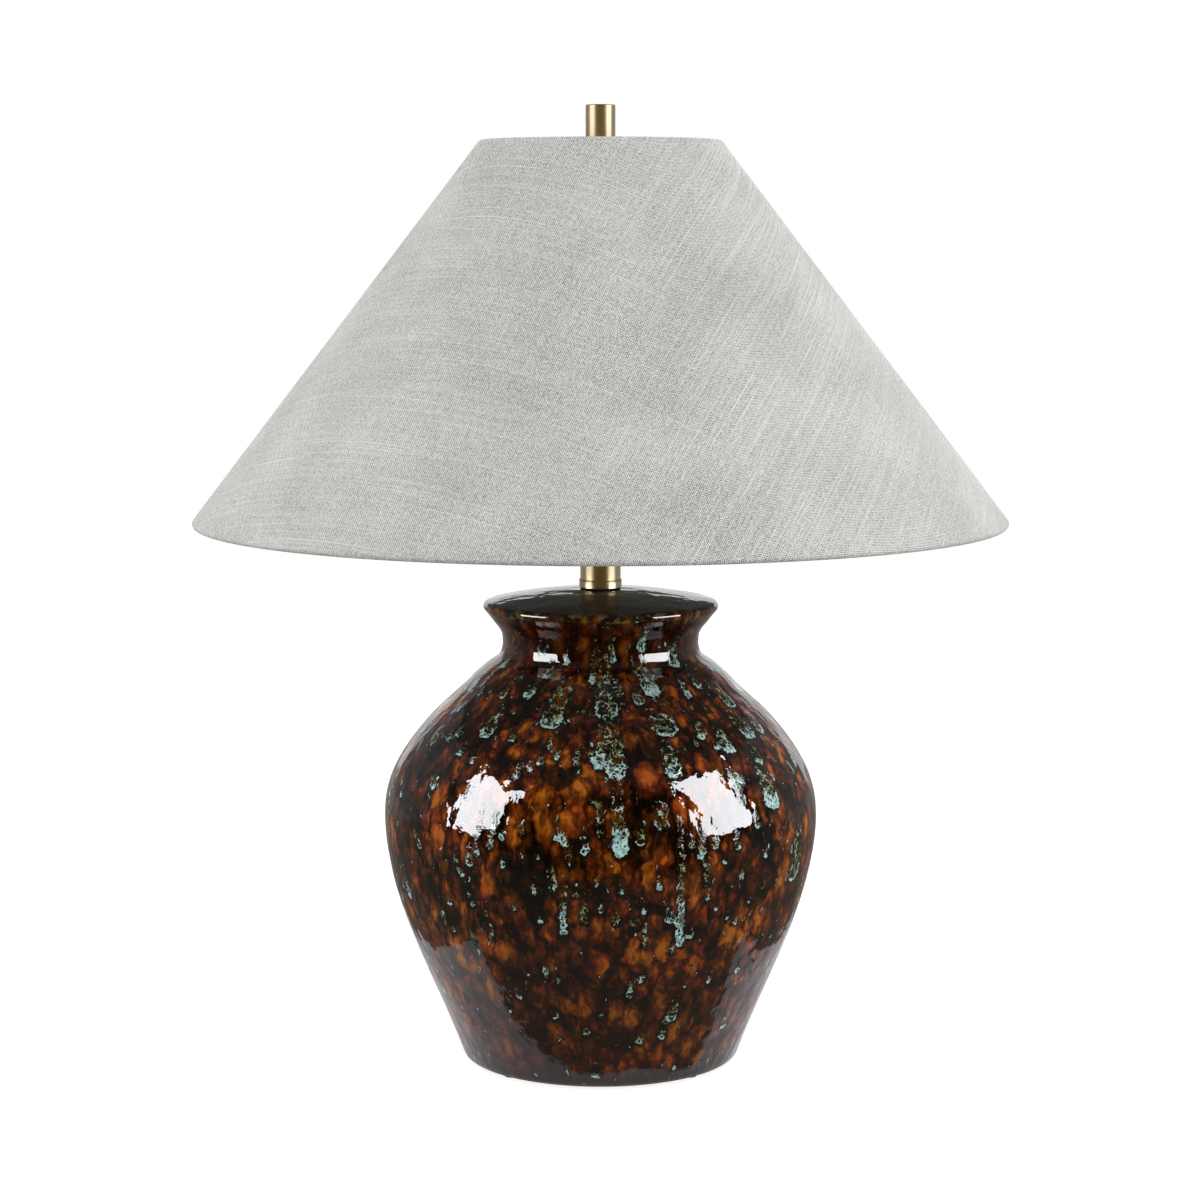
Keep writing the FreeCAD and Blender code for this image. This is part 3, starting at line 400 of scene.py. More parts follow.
def make_linen():
    finish, tree, shader = new_finish("warm_grey_linen")
    cloth = add_node(tree, "UVMap", uv_map="flat_cloth").outputs[0]
    weave = place_group(tree, linen_weave, {"Cloth": cloth})
    colour = colour_ramp(tree, weave["Tone"], linen_stops)
    put_in(tree, shader, {
        "Base Color": mix_colours(tree, weave["Slub"], colour, slub_colour),
        "Roughness": 0.92,
        "Specular IOR Level": 0.15,
        "Sheen Weight": 0.12,
        "Sheen Roughness": 0.5,
        "Normal": bump(tree, weave["Height"], 0.00012)})
    return finish


def make_opal_glass():
    finish, tree, shader = new_finish("opal_glass")
    grain = place_group(tree, fine_grain, {"Grain Scale": 300.0})
    put_in(tree, shader, {
        "Base Color": mix_colours(tree, grain["Clouds"], (0.80, 0.80, 0.77), (0.88, 0.88, 0.86)),
        "Roughness": 0.22,
        "Subsurface Weight": 0.25,
        "Subsurface Scale": 0.01,
        "Normal": bump(tree, grain["Grain"], 0.00001)})
    return finish


# Drip glaze. Levels and radii on the vase where it changes: start and end of each soft step

bare_edge = (0.0034, 0.0039)
dark_foot = (0.006, 0.016)
recess_roof = (0.022, 0.024)
recess_radius = (0.0744, 0.0752)
low_belly = (0.04, 0.13)
calm_throat = (0.238, 0.254)
dim_throat = (0.246, 0.262)
lip_underside = (0.266, 0.271)
lip_rise = (0.281, 0.284)
lip_edge = (0.2850, 0.2870)
dark_top = (0.2885, 0.2935)
front_of_lip = (-0.045, -0.030)

ground_cell_scale = 105.0
ground_stops = [
    (0.26, (0.0008, 0.0005, 0.0003)), (0.39, (0.014, 0.0036, 0.0006)),
    (0.50, (0.048, 0.0105, 0.0020)), (0.61, (0.100, 0.0215, 0.0032)),
    (0.72, (0.195, 0.044, 0.0050)), (0.84, (0.35, 0.088, 0.007)), (0.96, (0.52, 0.160, 0.011))]
rust_tint = (1.0, 0.66, 1.3)
cell_border_colour = (0.006, 0.0035, 0.0015)
height_tints = [
    (smooth_rise, dim_throat, 0.55, (0.030, 0.0065, 0.003)),
    (smooth_fall, low_belly, 0.35, (0.036, 0.016, 0.009)),
    (smooth_rise, dark_top, 0.95, (0.004, 0.0035, 0.003)),
    (smooth_fall, dark_foot, 0.8, (0.010, 0.007, 0.005))]
# Painted shadow round the drips
painted_drip_shadow_colour = (0.0028, 0.0022, 0.0010)
teal_stops = [(0.34, (0.26, 0.50, 0.46)), (0.60, (0.68, 0.93, 0.88))]
olive_stops = [(0.36, (0.15, 0.165, 0.045)), (0.64, (0.42, 0.48, 0.22))]
dash_shade_colour = (0.010, 0.007, 0.003)
speck_shade_colour = (0.008, 0.006, 0.003)
speck_olive = (0.20, 0.20, 0.07)
lip_bead_colour = (0.26, 0.19, 0.04)
clay_stops = [(0.3, (0.42, 0.24, 0.17)), (0.7, (0.60, 0.37, 0.28))]


def glaze_ground(tree, bent, level, broad, small):
    """Warm ground: rounded cells, bright at heart and dark at their borders."""
    tall = stretched(tree, bent, (1.0, 1.0, 0.52))
    cells = add_node(tree, "TexVoronoi", {"Vector": tall, "Scale": ground_cell_scale,
                                          "Smoothness": 0.4}, feature="SMOOTH_F1").outputs
    cell_tint = colour_parts(tree, cells["Color"])[0]
    streak = cloud(tree, stretched(tree, bent, (1.0, 1.0, 0.12)), 400.0, 1.0)
    warmth = minus(tree, 0.87, times(tree, cells["Distance"], 0.62))
    warmth = add_parts(tree, warmth, (cell_tint, 0.36), (broad, 0.62), (small, 0.66),
                       (streak, 0.52))
    colour = colour_ramp(tree, warmth, ground_stops)
    hue = cloud(tree, tall, 60.0)
    rusty = times(tree, smooth_rise(tree, hue, 0.42, 0.60), 0.8)
    colour = mix_colours(tree, rusty, colour, rust_tint, "MULTIPLY")
    borders = voronoi(tree, tall, ground_cell_scale, "DISTANCE_TO_EDGE")[0]
    outlined = times(tree, smooth_fall(tree, borders, 0.01, 0.14),
                     smooth_rise(tree, add_parts(tree, hue, (broad, 0.5)), 0.44, 0.54), 0.6)
    colour = mix_colours(tree, outlined, colour, cell_border_colour)
    for step, levels, share, tint in height_tints:
        tinted = times(tree, step(tree, level, *levels), share)
        colour = mix_colours(tree, tinted, colour, tint)
    return colour


def glaze_drips(tree, colour, flow, bent, broad, patches, olive, teal):
    """Second glaze that ran down from the lip: a lace that closes up into teal ends.

    Returns the colour, the depth inside a drip, the foam's cell borders and the lace.
    """
    depth, age, fill = (attribute(tree, name) for name in ("drip_depth", "drip_age", "drip_fill"))
    wobble = times(tree, off_middle(tree, cloud(tree, flow, 330.0, 3.0, 0.6)), 7.0)
    inside = plus(tree, depth, wobble)
    # Painted shadow: a dark ring round each drip, darkest round its lower end
    drip_shadow = plus(tree, times(tree, smooth_fall(tree, age, 0.10, 0.65), 0.34), 0.62)
    drip_shadow = times(tree, smooth_rise(tree, inside, -3.8, -0.4), drip_shadow)
    colour = mix_colours(tree, drip_shadow, colour, painted_drip_shadow_colour)

    rim = times(tree, smooth_fall(tree, inside, 1.2, 1.9), smooth_fall(tree, age, 0.0, 0.42),
                smooth_rise(tree, fill, -0.1, 0.05))
    heart = times(tree, smooth_rise(tree, fill, 0.2, 0.75), smooth_fall(tree, age, 0.0, 0.5))
    closing = plus(tree, times(tree, heart, 0.85), times(tree, rim, 1.05))
    closing = minus(tree, closing, times(tree, smooth_rise(tree, age, 0.6, 1.0), 0.2))
    closing = add_parts(tree, closing, (patches, 1.4))
    thickness = times(tree, plus(tree, closing, 0.125), 0.38)
    ragged = vector_calc(tree, "ADD", bent, noise_shove(tree, flow, 800.0, 0.0018))
    foam = voronoi(tree, stretched(tree, ragged, (1.0, 1.0, 0.7)), 400.0, "DISTANCE_TO_EDGE")[0]
    lace = times(tree, smooth_rise(tree, minus(tree, thickness, foam), -0.02, 0.02),
                 smooth_rise(tree, inside, 0.0, 0.6))
    teal_share = smooth_rise(tree, add_parts(tree, closing, (broad, 0.6)), 0.0, 0.26)
    colour = mix_colours(tree, lace, colour, mix_colours(tree, teal_share, olive, teal))
    return colour, inside, foam, lace


def glaze_dashes(tree, colour, bent, broad, foam, below_top, olive, teal):
    """Short dashes between the drips, each with a dark surround."""
    dashes = voronoi(tree, stretched(tree, bent, (1.0, 1.0, 0.2)), 270.0)
    chance, wide, tint = colour_parts(tree, dashes["Color"])
    width = plus(tree, times(tree, wide, 0.13), 0.07)
    reach = calc(tree, "DIVIDE", dashes["Distance"], width)
    chosen = smooth_rise(tree, add_parts(tree, chance, (broad, 1.3)), 0.53, 0.55)
    chosen = times(tree, chosen, below_top)
    shade = times(tree, smooth_fall(tree, reach, 1.0, 2.6), chosen, 0.7)
    colour = mix_colours(tree, shade, colour, dash_shade_colour)
    dash = times(tree, smooth_fall(tree, reach, 0.75, 1.15), chosen,
                 smooth_rise(tree, foam, 0.03, 0.12))
    dash_colour = mix_colours(tree, smooth_rise(tree, tint, 0.3, 0.6), olive, teal)
    return mix_colours(tree, dash, colour, dash_colour)


def glaze_specks(tree, colour, bent, level, patches, below_top, teal):
    """Small rings and specks between the drips, more of them higher up."""
    specks = voronoi(tree, stretched(tree, bent, (1.0, 1.0, 0.7)), 95.0)
    chance, wide, tint = colour_parts(tree, specks["Color"])
    width = plus(tree, times(tree, wide, 0.11), 0.055)
    reach = calc(tree, "DIVIDE", specks["Distance"], width)
    chance = plus(tree, chance, times(tree, smooth_rise(tree, level, 0.0, 0.26), 0.15))
    chosen = times(tree, smooth_rise(tree, chance, 0.58, 0.61), below_top)
    shade = times(tree, smooth_fall(tree, reach, 1.2, 3.2), chosen, 0.75)
    colour = mix_colours(tree, shade, colour, speck_shade_colour)
    disc = smooth_fall(tree, reach, 0.8, 1.15)
    hole = smooth_fall(tree, reach, 0.25, 0.55)
    ring = times(tree, minus(tree, disc, hole, clamp=True), chosen,
                 smooth_rise(tree, patches, 0.36, 0.5))
    speck_colour = mix_colours(tree, smooth_rise(tree, tint, 0.35, 0.6), speck_olive, teal)
    return mix_colours(tree, ring, colour, speck_colour)


def bare_clay(tree, place, small):
    """The lower edge of the foot and the recess under the base, which are not glazed."""
    edge_wave = times(tree, small, 0.0014)
    foot = smooth_fall(tree, plus(tree, place[2], edge_wave), *bare_edge)
    outward_place = add_node(tree, "CombineXYZ", {0: place[0], 1: place[1]}).outputs[0]
    radius = add_node(tree, "VectorMath", {0: outward_place}, operation="LENGTH").outputs["Value"]
    recess = times(tree, smooth_fall(tree, plus(tree, radius, edge_wave), *recess_radius),
                   smooth_fall(tree, place[2], *recess_roof))
    return calc(tree, "MAXIMUM", foot, recess)


def glaze_relief(tree, flow, level, on_top, inside):
    """Slow swells, dimples and raised drips. The throat is calmer than the belly."""
    calm = minus(tree, 1.0, times(tree, smooth_rise(tree, level, *calm_throat), 0.85))
    calm = plus(tree, calm, times(tree, on_top, 0.45))
    swells = times(tree, off_middle(tree, cloud(tree, flow, 38.0)), calm)
    dimples = times(tree, off_middle(tree, cloud(tree, flow, 150.0)), calm)
    relief = bump(tree, swells, 0.0018)
    relief = bump(tree, dimples, 0.00022, relief)
    return bump(tree, smooth_rise(tree, inside, -1.0, 2.0), 0.00016, relief)


def make_glaze():
    """Amber and rust glaze under the olive and teal lace of a second glaze."""
    finish, tree, shader = new_finish("drip_glaze")
    flow = attribute(tree, "glaze_flow", "Vector")
    place = vector_parts(tree, object_place(tree))
    level = place[2]
    bent = vector_calc(tree, "ADD", flow, noise_shove(tree, flow, 125.0, 0.009))
    broad = cloud(tree, flow, 20.0)
    patches = cloud(tree, flow, 250.0)
    small = cloud(tree, stretched(tree, bent, (1.0, 1.0, 0.5)), 240.0, 1.0)
    teal = colour_ramp(tree, cloud(tree, flow, 480.0), teal_stops)
    olive = colour_ramp(tree, patches, olive_stops)
    on_top = smooth_rise(tree, level, *dark_top)
    below_top = minus(tree, 1.0, on_top)

    colour = glaze_ground(tree, bent, level, broad, small)
    colour, inside, foam, lace = glaze_drips(tree, colour, flow, bent, broad, patches, olive, teal)
    colour = glaze_dashes(tree, colour, bent, broad, foam, below_top, olive, teal)
    colour = glaze_specks(tree, colour, bent, level, patches, below_top, teal)
    lip_beads = times(tree, smooth_rise(tree, level, *lip_edge), below_top,
                      smooth_rise(tree, cloud(tree, flow, 115.0), 0.54, 0.64), 0.8)
    colour = mix_colours(tree, lip_beads, colour, lip_bead_colour)
    bare = bare_clay(tree, place, small)
    colour = mix_colours(tree, bare, colour, colour_ramp(tree, small, clay_stops))

    under_lip = times(tree, smooth_rise(tree, level, *lip_underside),
                      smooth_fall(tree, level, *lip_rise),
                      smooth_fall(tree, place[1], *front_of_lip))
    rough = plus(tree, times(tree, bare, 0.8), times(tree, lace, 0.06))
    relief = glaze_relief(tree, flow, level, on_top, inside)
    put_in(tree, shader, {
        "Base Color": colour,
        "Roughness": plus(tree, rough, 0.05, clamp=True),
        "Specular IOR Level": 0.0,
        "Coat Weight": minus(tree, minus(tree, 1.0, bare), times(tree, under_lip, 0.65)),
        "Coat Roughness": 0.02,
        "Coat IOR": 1.55,
        "Normal": relief,
        "Coat Normal": relief})
    return finish


# Metals: name, bright and worn colour, roughness and its spread, scale and depth of the lines
brass = metal_finish("satin_brass", (0.82, 0.67, 0.44), (0.73, 0.58, 0.35),
                     0.30, 0.07, 1800.0, 0.0000015)
plated = metal_finish("plated_brass", (0.83, 0.62, 0.30), (0.70, 0.50, 0.22),
                      0.20, 0.10, 600.0, 0.000003)
zinc = metal_finish("zinc_steel", (0.62, 0.63, 0.65), (0.47, 0.48, 0.50),
                    0.36, 0.14, 700.0, 0.000005)
nickel = metal_finish("nickel_plate", (0.72, 0.70, 0.66), (0.60, 0.58, 0.54),
                      0.24, 0.10, 900.0, 0.000003)
# Others: name, light and dark colour, roughness, scale and depth of the grain, gloss
plastic = dull_finish("black_plastic", (0.035, 0.034, 0.032), (0.018, 0.018, 0.018),
                      0.42, 1500.0, 0.00003, 0.5)
card = dull_finish("fibre_card", (0.42, 0.33, 0.22), (0.31, 0.24, 0.15),
                   0.85, 700.0, 0.00006, 0.2)
rubber = dull_finish("black_rubber", (0.045, 0.044, 0.043), (0.02, 0.02, 0.02),
                     0.75, 800.0, 0.00005, 0.3)
felt = dull_finish("grey_felt", (0.10, 0.095, 0.09), (0.035, 0.034, 0.033),
                   0.97, 2600.0, 0.00025, 0.1)
# The liner's mid grey is partly a guessed linen-toned lining and partly painted shade for the dark
# inside of the lampshade
liner = dull_finish("grey_liner_with_painted_shade", (0.50, 0.49, 0.46), (0.44, 0.43, 0.40),
                    0.45, 350.0, 0.00003, 0.5)
linen = make_linen()
drip_glaze = make_glaze()
opal = make_opal_glass()

dressed_nodes = [
    (brass, ["neck_collar", "neck_tube", "neck_cap", "finial"]),
    (plated, ["harp_saddle", "harp", "left_ferrule", "right_ferrule", "harp_stud", "shade_spider",
              "holder_cap", "holder_shell", "terminal_screws", "centre_contact"]),
    (zinc, ["lamp_pipe", "steel_washer", "lock_washer", "lower_nut", "saddle_nut", "set_screw",
            "switch_shaft", "bottom_ring"]),
    (nickel, ["screw_shell", "bulb_base", "bulb_contact"]),
    (plastic, ["outlet_bushing", "holder_body", "switch_knob", "bulb_insulator"]),
    (card, ["holder_sleeve"]),
    (rubber, ["rubber_washer", "neck_gasket"]),
    (felt, ["foot_pads"]),
    (opal, ["bulb_glass"]),
    (liner, ["shade_liner"]),
    (linen, ["linen_cover"]),
    (drip_glaze, ["vase"])]


def dress_nodes():
    for finish, names in dressed_nodes:
        for name in names:
            piece = nodes[name]
            if not piece.material_slots:
                piece.data.materials.append(finish)
            for held in piece.material_slots:
                held.material = finish


# Turned shapes

def turned_skin(name, outline, steps):
    """An outline of (radius, level) pairs, drawn point by point and spun round the axis."""
    clear_selection()
    bpy.ops.mesh.primitive_plane_add(size=0.001, location=(outline[0][0], 0, outline[0][1]))
    piece = bpy.context.object
    piece.name = piece.data.name = name
    bpy.ops.object.transform_apply(location=True, rotation=True, scale=True)
    bpy.ops.object.mode_set(mode="EDIT")
    bpy.ops.mesh.select_all(action="SELECT")
    bpy.ops.mesh.merge(type="CENTER")
    for (radius, level), (next_radius, next_level) in zip(outline, outline[1:]):
        step = (next_radius - radius, 0, next_level - level)
        bpy.ops.mesh.extrude_vertices_move(TRANSFORM_OT_translate={"value": step})
    bpy.ops.mesh.select_all(action="SELECT")
    bpy.ops.mesh.spin(steps=steps, angle=2 * math.pi, center=(0, 0, 0), axis=(0, 0, 1))
    bpy.ops.mesh.select_all(action="SELECT")
    bpy.ops.mesh.remove_doubles(threshold=0.000001)
    bpy.ops.mesh.normals_make_consistent(inside=False)
    bpy.ops.object.mode_set(mode="OBJECT")
    return piece


def apply_modifier(piece, kind, **settings):
    added = piece.modifiers.new(kind.lower(), kind)
    for name, value in settings.items():
        setattr(added, name, value)
    select_only(piece)
    bpy.ops.object.modifier_apply(modifier=added.name)


def set_finish(piece, finish):
    piece.data.materials.clear()
    piece.data.materials.append(finish)


def smooth_shading(piece, degrees):
    select_only(piece)
    bpy.ops.object.shade_smooth_by_angle(angle=math.radians(degrees))


def read_places(piece):
    places = np.empty(len(piece.data.vertices) * 3)
    piece.data.vertices.foreach_get("co", places)
    return places.reshape(-1, 3)


def turn_and_radius(places):
    """Angle round from the front and distance from the axis of each point."""
    return (np.arctan2(places[:, 0], -places[:, 1]), np.hypot(places[:, 0], places[:, 1]))


def store(piece, name, kind, values):
    made = piece.data.attributes.new(name, kind, "POINT")
    field = "vector" if kind == "FLOAT_VECTOR" else "value"
    made.data.foreach_set(field, values.astype(np.float32).ravel())


def length_along(outline):
    steps = np.hypot(*np.diff(outline, axis=0).T)
    return np.concatenate([[0.0], np.cumsum(steps)])


def nearest_length(places, outline):
    """How far along the outline each point of a turned piece lies."""
    radii = turn_and_radius(places)[1]
    lengths = length_along(outline)
    found = np.empty(len(places))
    batch = 5000
    for start in range(0, len(places), batch):
        part = slice(start, start + batch)
        gaps = ((radii[part, None] - outline[:, 0]) ** 2
                + (places[part, 2, None] - outline[:, 1]) ** 2)
        found[part] = lengths[gaps.argmin(1)]
    return found


def rounded_line(points, pieces):
    """A smooth line through points (Catmull-Rom), with so many pieces between each pair."""
    points = np.array(points, float)
    padded = np.vstack([2 * points[0] - points[1], points, 2 * points[-1] - points[-2]])
    line = []
    for index in range(len(points) - 1):
        before, here, there, after = padded[index:index + 4]
        for step in range(pieces):
            share = step / pieces
            line.append(0.5 * (2 * here + (there - before) * share
                               + (2 * before - 5 * here + 4 * there - after) * share ** 2
                               + (3 * here - before - 3 * there + after) * share ** 3))
    line.append(points[-1])
    return np.array(line)


def round_corner(centre, radius, start_angle, end_angle, pieces):
    angles = np.radians(np.linspace(start_angle, end_angle, pieces + 1))
    return np.column_stack([centre[0] + radius * np.cos(angles),
                            centre[1] + radius * np.sin(angles)])


# Vase, sizes in millimetres until the outline is spun

foot_corner = ((83.0, 6.2), 5.0)
vase_wall = [
    (87.67, 4.41), (91.2, 13.5), (94.8, 22.6), (98.4, 31.2), (102.1, 40.2), (105.8, 48.7),
    (109.7, 57.7), (113.4, 66.3), (117.1, 75.2), (120.7, 84.2), (123.9, 92.9), (126.9, 102.2),
    (129.5, 111.5), (131.6, 120.5), (133.5, 130.0), (135.1, 139.2), (136.1, 148.8), (136.4, 158.2),
    (135.7, 168.1), (133.6, 177.7), (130.0, 187.0), (125.3, 195.5), (119.7, 203.7), (113.8, 211.3),
    (107.3, 218.7), (100.4, 225.6), (92.9, 232.3), (85.8, 238.8), (78.8, 245.9), (71.4, 252.2),
    (63.9, 257.5), (61.75, 263.5), (61.6, 267.1), (62.1, 271.7), (64.3, 275.7), (67.2, 279.3),
    (70.0, 283.0), (72.94, 286.42)]
lip_corner = ((70.6, 288.6), 3.2)
dome_radius = 329.39
dome_centre_level = -29.856
seat_radius = 11.0
seat_level = 299.208
bore_radius = 5.5
recess_level = 20.2
recess_corner = ((67.6, 16.2), 4.0)
vase_spin_steps = 420


def vase_outline():
    """From the foot up the wall, over lip and dome, down the bore and out through the recess."""
    foot_edge = round_corner(*foot_corner, -90, -21, 6)
    wall = rounded_line(vase_wall, 5)
    lip = round_corner(*lip_corner, -43, 77.5, 9)
    dome_angles = np.radians(np.linspace(12.5, 2.55, 18))
    dome = np.column_stack([dome_radius * np.sin(dome_angles),
                            dome_centre_level + dome_radius * np.cos(dome_angles)])
    seat = [(seat_radius, seat_level), (bore_radius, seat_level)]
    bore = [(bore_radius, level) for level in (280, 150, recess_level)]
    roof = [(radius, recess_level) for radius in (20.0, 40.0, 60.0, 67.5)]
    corner = round_corner(*recess_corner, 80, 4, 4)
    recess = [(72.0, 11.0), (72.6, 5.0), (73.0, 1.2)]
    outline = np.vstack([foot_edge, wall[1:], lip[1:], dome[1:], seat, bore, roof, corner, recess,
                         foot_edge[:1]])
    return outline / 1000


# Drips of the second glaze: degrees round from the front, level of the lower end, width and
# length in millimetres, and how full of teal the lower end is
drips = [
    (2, 230, 17, 49, 0.15), (-4, 249, 6, 32, 0.3), (7, 260, 6, 13, 0.5), (-18, 225, 16, 37, 0.12),
    (-32, 240, 11, 14, 0.5), (-28, 251, 8, 14, 0.5), (-36, 263, 9, 8, 0.35), (23, 241, 13, 35, 0.7),
    (16, 237, 10, 11, 0.2), (23, 220, 22, 25, 0.12), (5, 198, 14, 42, 0.35),
    (-0.5, 205, 8, 36, 0.3), (5, 154, 11, 48, 0.62), (21, 199, 13, 25, 0.25),
    (15, 171, 12, 15, 0.1), (22, 96, 6, 83, 0.4), (46, 255, 11, 20, 0.6), (40, 239, 6, 17, 0.7),
    (-41, 217, 12, 28, 0.2), (-53, 215, 10, 8, 0.5), (56, 213, 18, 22, 0.55),
    (43, 208, 12, 22, 0.5), (84, 234, 16, 26, 0.5), (52, 173, 17, 31, 0.8), (10, 161, 8, 11, 0.1),
    (-4, 156, 6, 18, 0.4), (-11, 164, 6, 12, 0.5), (-10, 106, 5, 44, 0.4), (19, 111, 9, 16, 0.35),
    (24, 44, 9, 20, 0.1), (-16, 76, 5, 13, 0.5),
    (49, 32, 8, 12, 0.4), (-15, 48, 5, 7, 0.5), (11, 119, 3.5, 14, 0.5), (12, 106, 3, 9, 0.4),
    (29, 125, 5, 6, 0.6), (32, 117, 5, 6, 0.6), (-31, 100, 5, 10, 0.5), (-16, 112, 4, 9, 0.5),
    (-38, 137, 5, 5, 0.6), (-1, 137, 3.5, 7, 0.6), (-6, 130, 4, 4, 0.7), (0, 174, 5, 7, 0.6),
    (-16, 152, 4, 7, 0.6), (-33, 151, 4, 14, 0.5), (12, 73, 3.5, 15, 0.5), (-21, 203, 5, 6, 0.6),
    (-13, 209, 6, 9, 0.6), (-18, 206, 5, 7, 0.6), (39, 135, 6, 9, 0.5), (47, 145, 5, 8, 0.5),
    (-52, 185, 9, 13, 0.2), (-54, 148, 6, 9, 0.3), (35, 217, 6, 15, 0.5), (24, 265, 8, 22, 0.5),
    (-19, 259, 5, 9, 0.5), (-45, 238, 6, 8, 0.5), (-38, 184, 4, 8, 0.5), (26, 151, 6, 19, 0.4),
    (-3, 209, 4, 8, 0.6), (61, 230, 13, 20, 0.3), (53, 198, 10, 18, 0.6), (39, 211, 6, 11, 0.1),
    (42, 191, 7, 8, 0.6), (49, 243, 7, 13, 0.4), (73, 250, 12, 12, 0.5), (65, 214, 12, 16, 0.3),
    (-47, 206, 7, 10, 0.1), (-41, 203, 6, 6, 0.4), (-63, 253, 11, 8, 0.3), (-14, 241, 6, 19, -0.1),
    (-30, 217, 6, 7, 0.0), (-64, 208, 13, 12, -0.1), (-35, 144, 7, 13, 0.1), (-29, 156, 5, 10, 0.3),
    (-44, 117, 7, 6, 0.4), (25, 250, 8, 14, 0.1), (-7, 202, 6, 18, -0.1), (-2, 186, 4, 6, 0.3),
    (5, 132, 3, 10, 0.3), (15, 134, 4, 10, 0.2), (23, 158, 8, 8, -0.1), (30, 156, 6, 6, 0.5),
    (37, 154, 6, 10, 0.2), (44, 164, 6, 10, 0.3), (-9, 161, 5, 12, 0.3), (-17, 131, 5, 8, 0.2),
    (-23, 119, 4, 6, 0.5), (0, 120, 4, 8, 0.2), (9, 63, 5, 17, -0.1), (-5, 38, 5, 8, 0.0),
    (-26, 60, 4, 10, 0.1), (14, 31, 6, 8, 0.0), (-45, 98, 4, 7, 0.4), (-37, 87, 4, 7, 0.3),
    (39, 106, 5, 7, 0.4), (43, 118, 5, 6, 0.5), (25, 101, 4, 10, 0.1), (35, 68, 4, 9, 0.2),
    (46, 71, 5, 10, 0.1), (-2, 8, 9, 5, 0.5), (22, 33, 5, 13, 0.1)]
chance_start = 41
side_drip_count = 120
thin_run_count = 90
millimetres_per_degree = 2.1


def more_drips():
    """Drips for the sides and the back, and thin runs all round, placed by chance."""
    chance = np.random.default_rng(chance_start)
    made = []
    while len(made) < side_drip_count:
        turn = chance.uniform(62, 298)
        level = 262 - 225 * chance.random() ** 1.4
        large = chance.random() < 0.34 and level > 120
        width = chance.uniform(11, 21) if large else chance.uniform(3.5, 9)
        length = width * chance.uniform(1.4, 3.2)
        crowded = any(
            abs(turn - other[0]) * millimetres_per_degree <= (width + other[2]) * 0.6
            and abs(level - other[1]) <= length for other in made)
        if not crowded:
            made.append((turn, level, width, length, chance.uniform(0.1, 0.8)))
    for number in range(thin_run_count):
        level = 255 - 190 * chance.random() ** 1.2
        width = chance.uniform(3, 7)
        turn = number * 360 / thin_run_count
        made.append((turn, level, width, width * chance.uniform(1.8, 3.6), -0.25))
    return made


far_outside = -12.0
drips_lowest_length = 4
drips_highest_level = 293
drips_least_radius = 60
lip_level = 288
widest_reach = 40


def lay_drips(piece, outline):
    """Stores how deep each point of the vase lies in a drip, how far up it, and how full it is."""
    places = read_places(piece) * 1000
    turns, radii = turn_and_radius(places)
    along = nearest_length(places / 1000, outline) * 1000
    outer = ((along > drips_lowest_length) & (places[:, 2] < drips_highest_level)
             & (radii > drips_least_radius))
    outline_levels = outline[:, 1] * 1000
    outline_lengths = length_along(outline) * 1000
    wall = slice(0, int(np.argmax(outline_levels > lip_level)))
    depth = np.full(len(places), far_outside)
    age = np.zeros(len(places))
    fill = np.zeros(len(places))
    for number, (turn, level, width, length, full) in enumerate(drips + more_drips()):
        up = along - np.interp(level, outline_levels[wall], outline_lengths[wall])
        away = (turns - math.radians(turn) + math.pi) % (2 * math.pi) - math.pi
        wander = 0.05 * width * np.sin(up / (3 + 0.25 * width) + number)
        lean = 0.06 * up * math.sin(number * 2.4)
        side = away * radii - wander - lean
        share = np.clip(up / length, 0, 1)
        half_width = 0.45 * width * (1 - 0.42 * share ** 1.3)
        below = np.minimum(up - width / 2, 0)
        above = np.maximum(up - length, 0)
        found = half_width - np.sqrt(side ** 2 + below ** 2 + above ** 2)
        deeper = outer & (found > depth) & (np.abs(side) < widest_reach)
        depth[deeper] = found[deeper]
        age[deeper] = share[deeper]
        fill[deeper] = full
    store(piece, "drip_depth", "FLOAT", depth)
    store(piece, "drip_age", "FLOAT", age)
    store(piece, "drip_fill", "FLOAT", fill)
    spread = 0.12 * (np.maximum(radii, 5) / 120) ** 0.7
    flow = np.column_stack([spread * np.sin(turns), -spread * np.cos(turns), along / 1000])
    store(piece, "glaze_flow", "FLOAT_VECTOR", flow)


outlet_level = 0.0126
outlet_middle = 0.073335
outlet_depth = 0.02667
outlet_radius = 0.00495
bushing_seat_radius = 0.0067


def cut_outlet(piece):
    """The lead's hole at the back of the foot, and the flat seat of its bushing."""
    clear_selection()
    bpy.ops.mesh.primitive_cylinder_add(
        vertices=64, radius=outlet_radius, depth=outlet_depth,
        location=(0, outlet_middle, outlet_level), rotation=(math.pi / 2, 0, 0))
    drill = bpy.context.object
    bpy.ops.object.transform_apply(location=True, rotation=True, scale=True)
    bpy.ops.object.mode_set(mode="EDIT")
    bpy.ops.mesh.select_all(action="DESELECT")
    bpy.ops.object.mode_set(mode="OBJECT")
    for face in drill.data.polygons:
        face.select = face.normal.y > 0.9
    bpy.ops.object.mode_set(mode="EDIT")
    bpy.ops.mesh.extrude_region_move()
    widening = bushing_seat_radius / outlet_radius
    bpy.ops.transform.resize(value=(widening, 1, widening))
    bpy.ops.mesh.extrude_region_move(TRANSFORM_OT_translate={"value": (0, 0.014, 0)})
    bpy.ops.mesh.select_all(action="SELECT")
    bpy.ops.mesh.normals_make_consistent(inside=False)
    bpy.ops.object.mode_set(mode="OBJECT")
    apply_modifier(piece, "BOOLEAN", operation="DIFFERENCE", solver="EXACT", object=drill)
    bpy.data.objects.remove(drill)


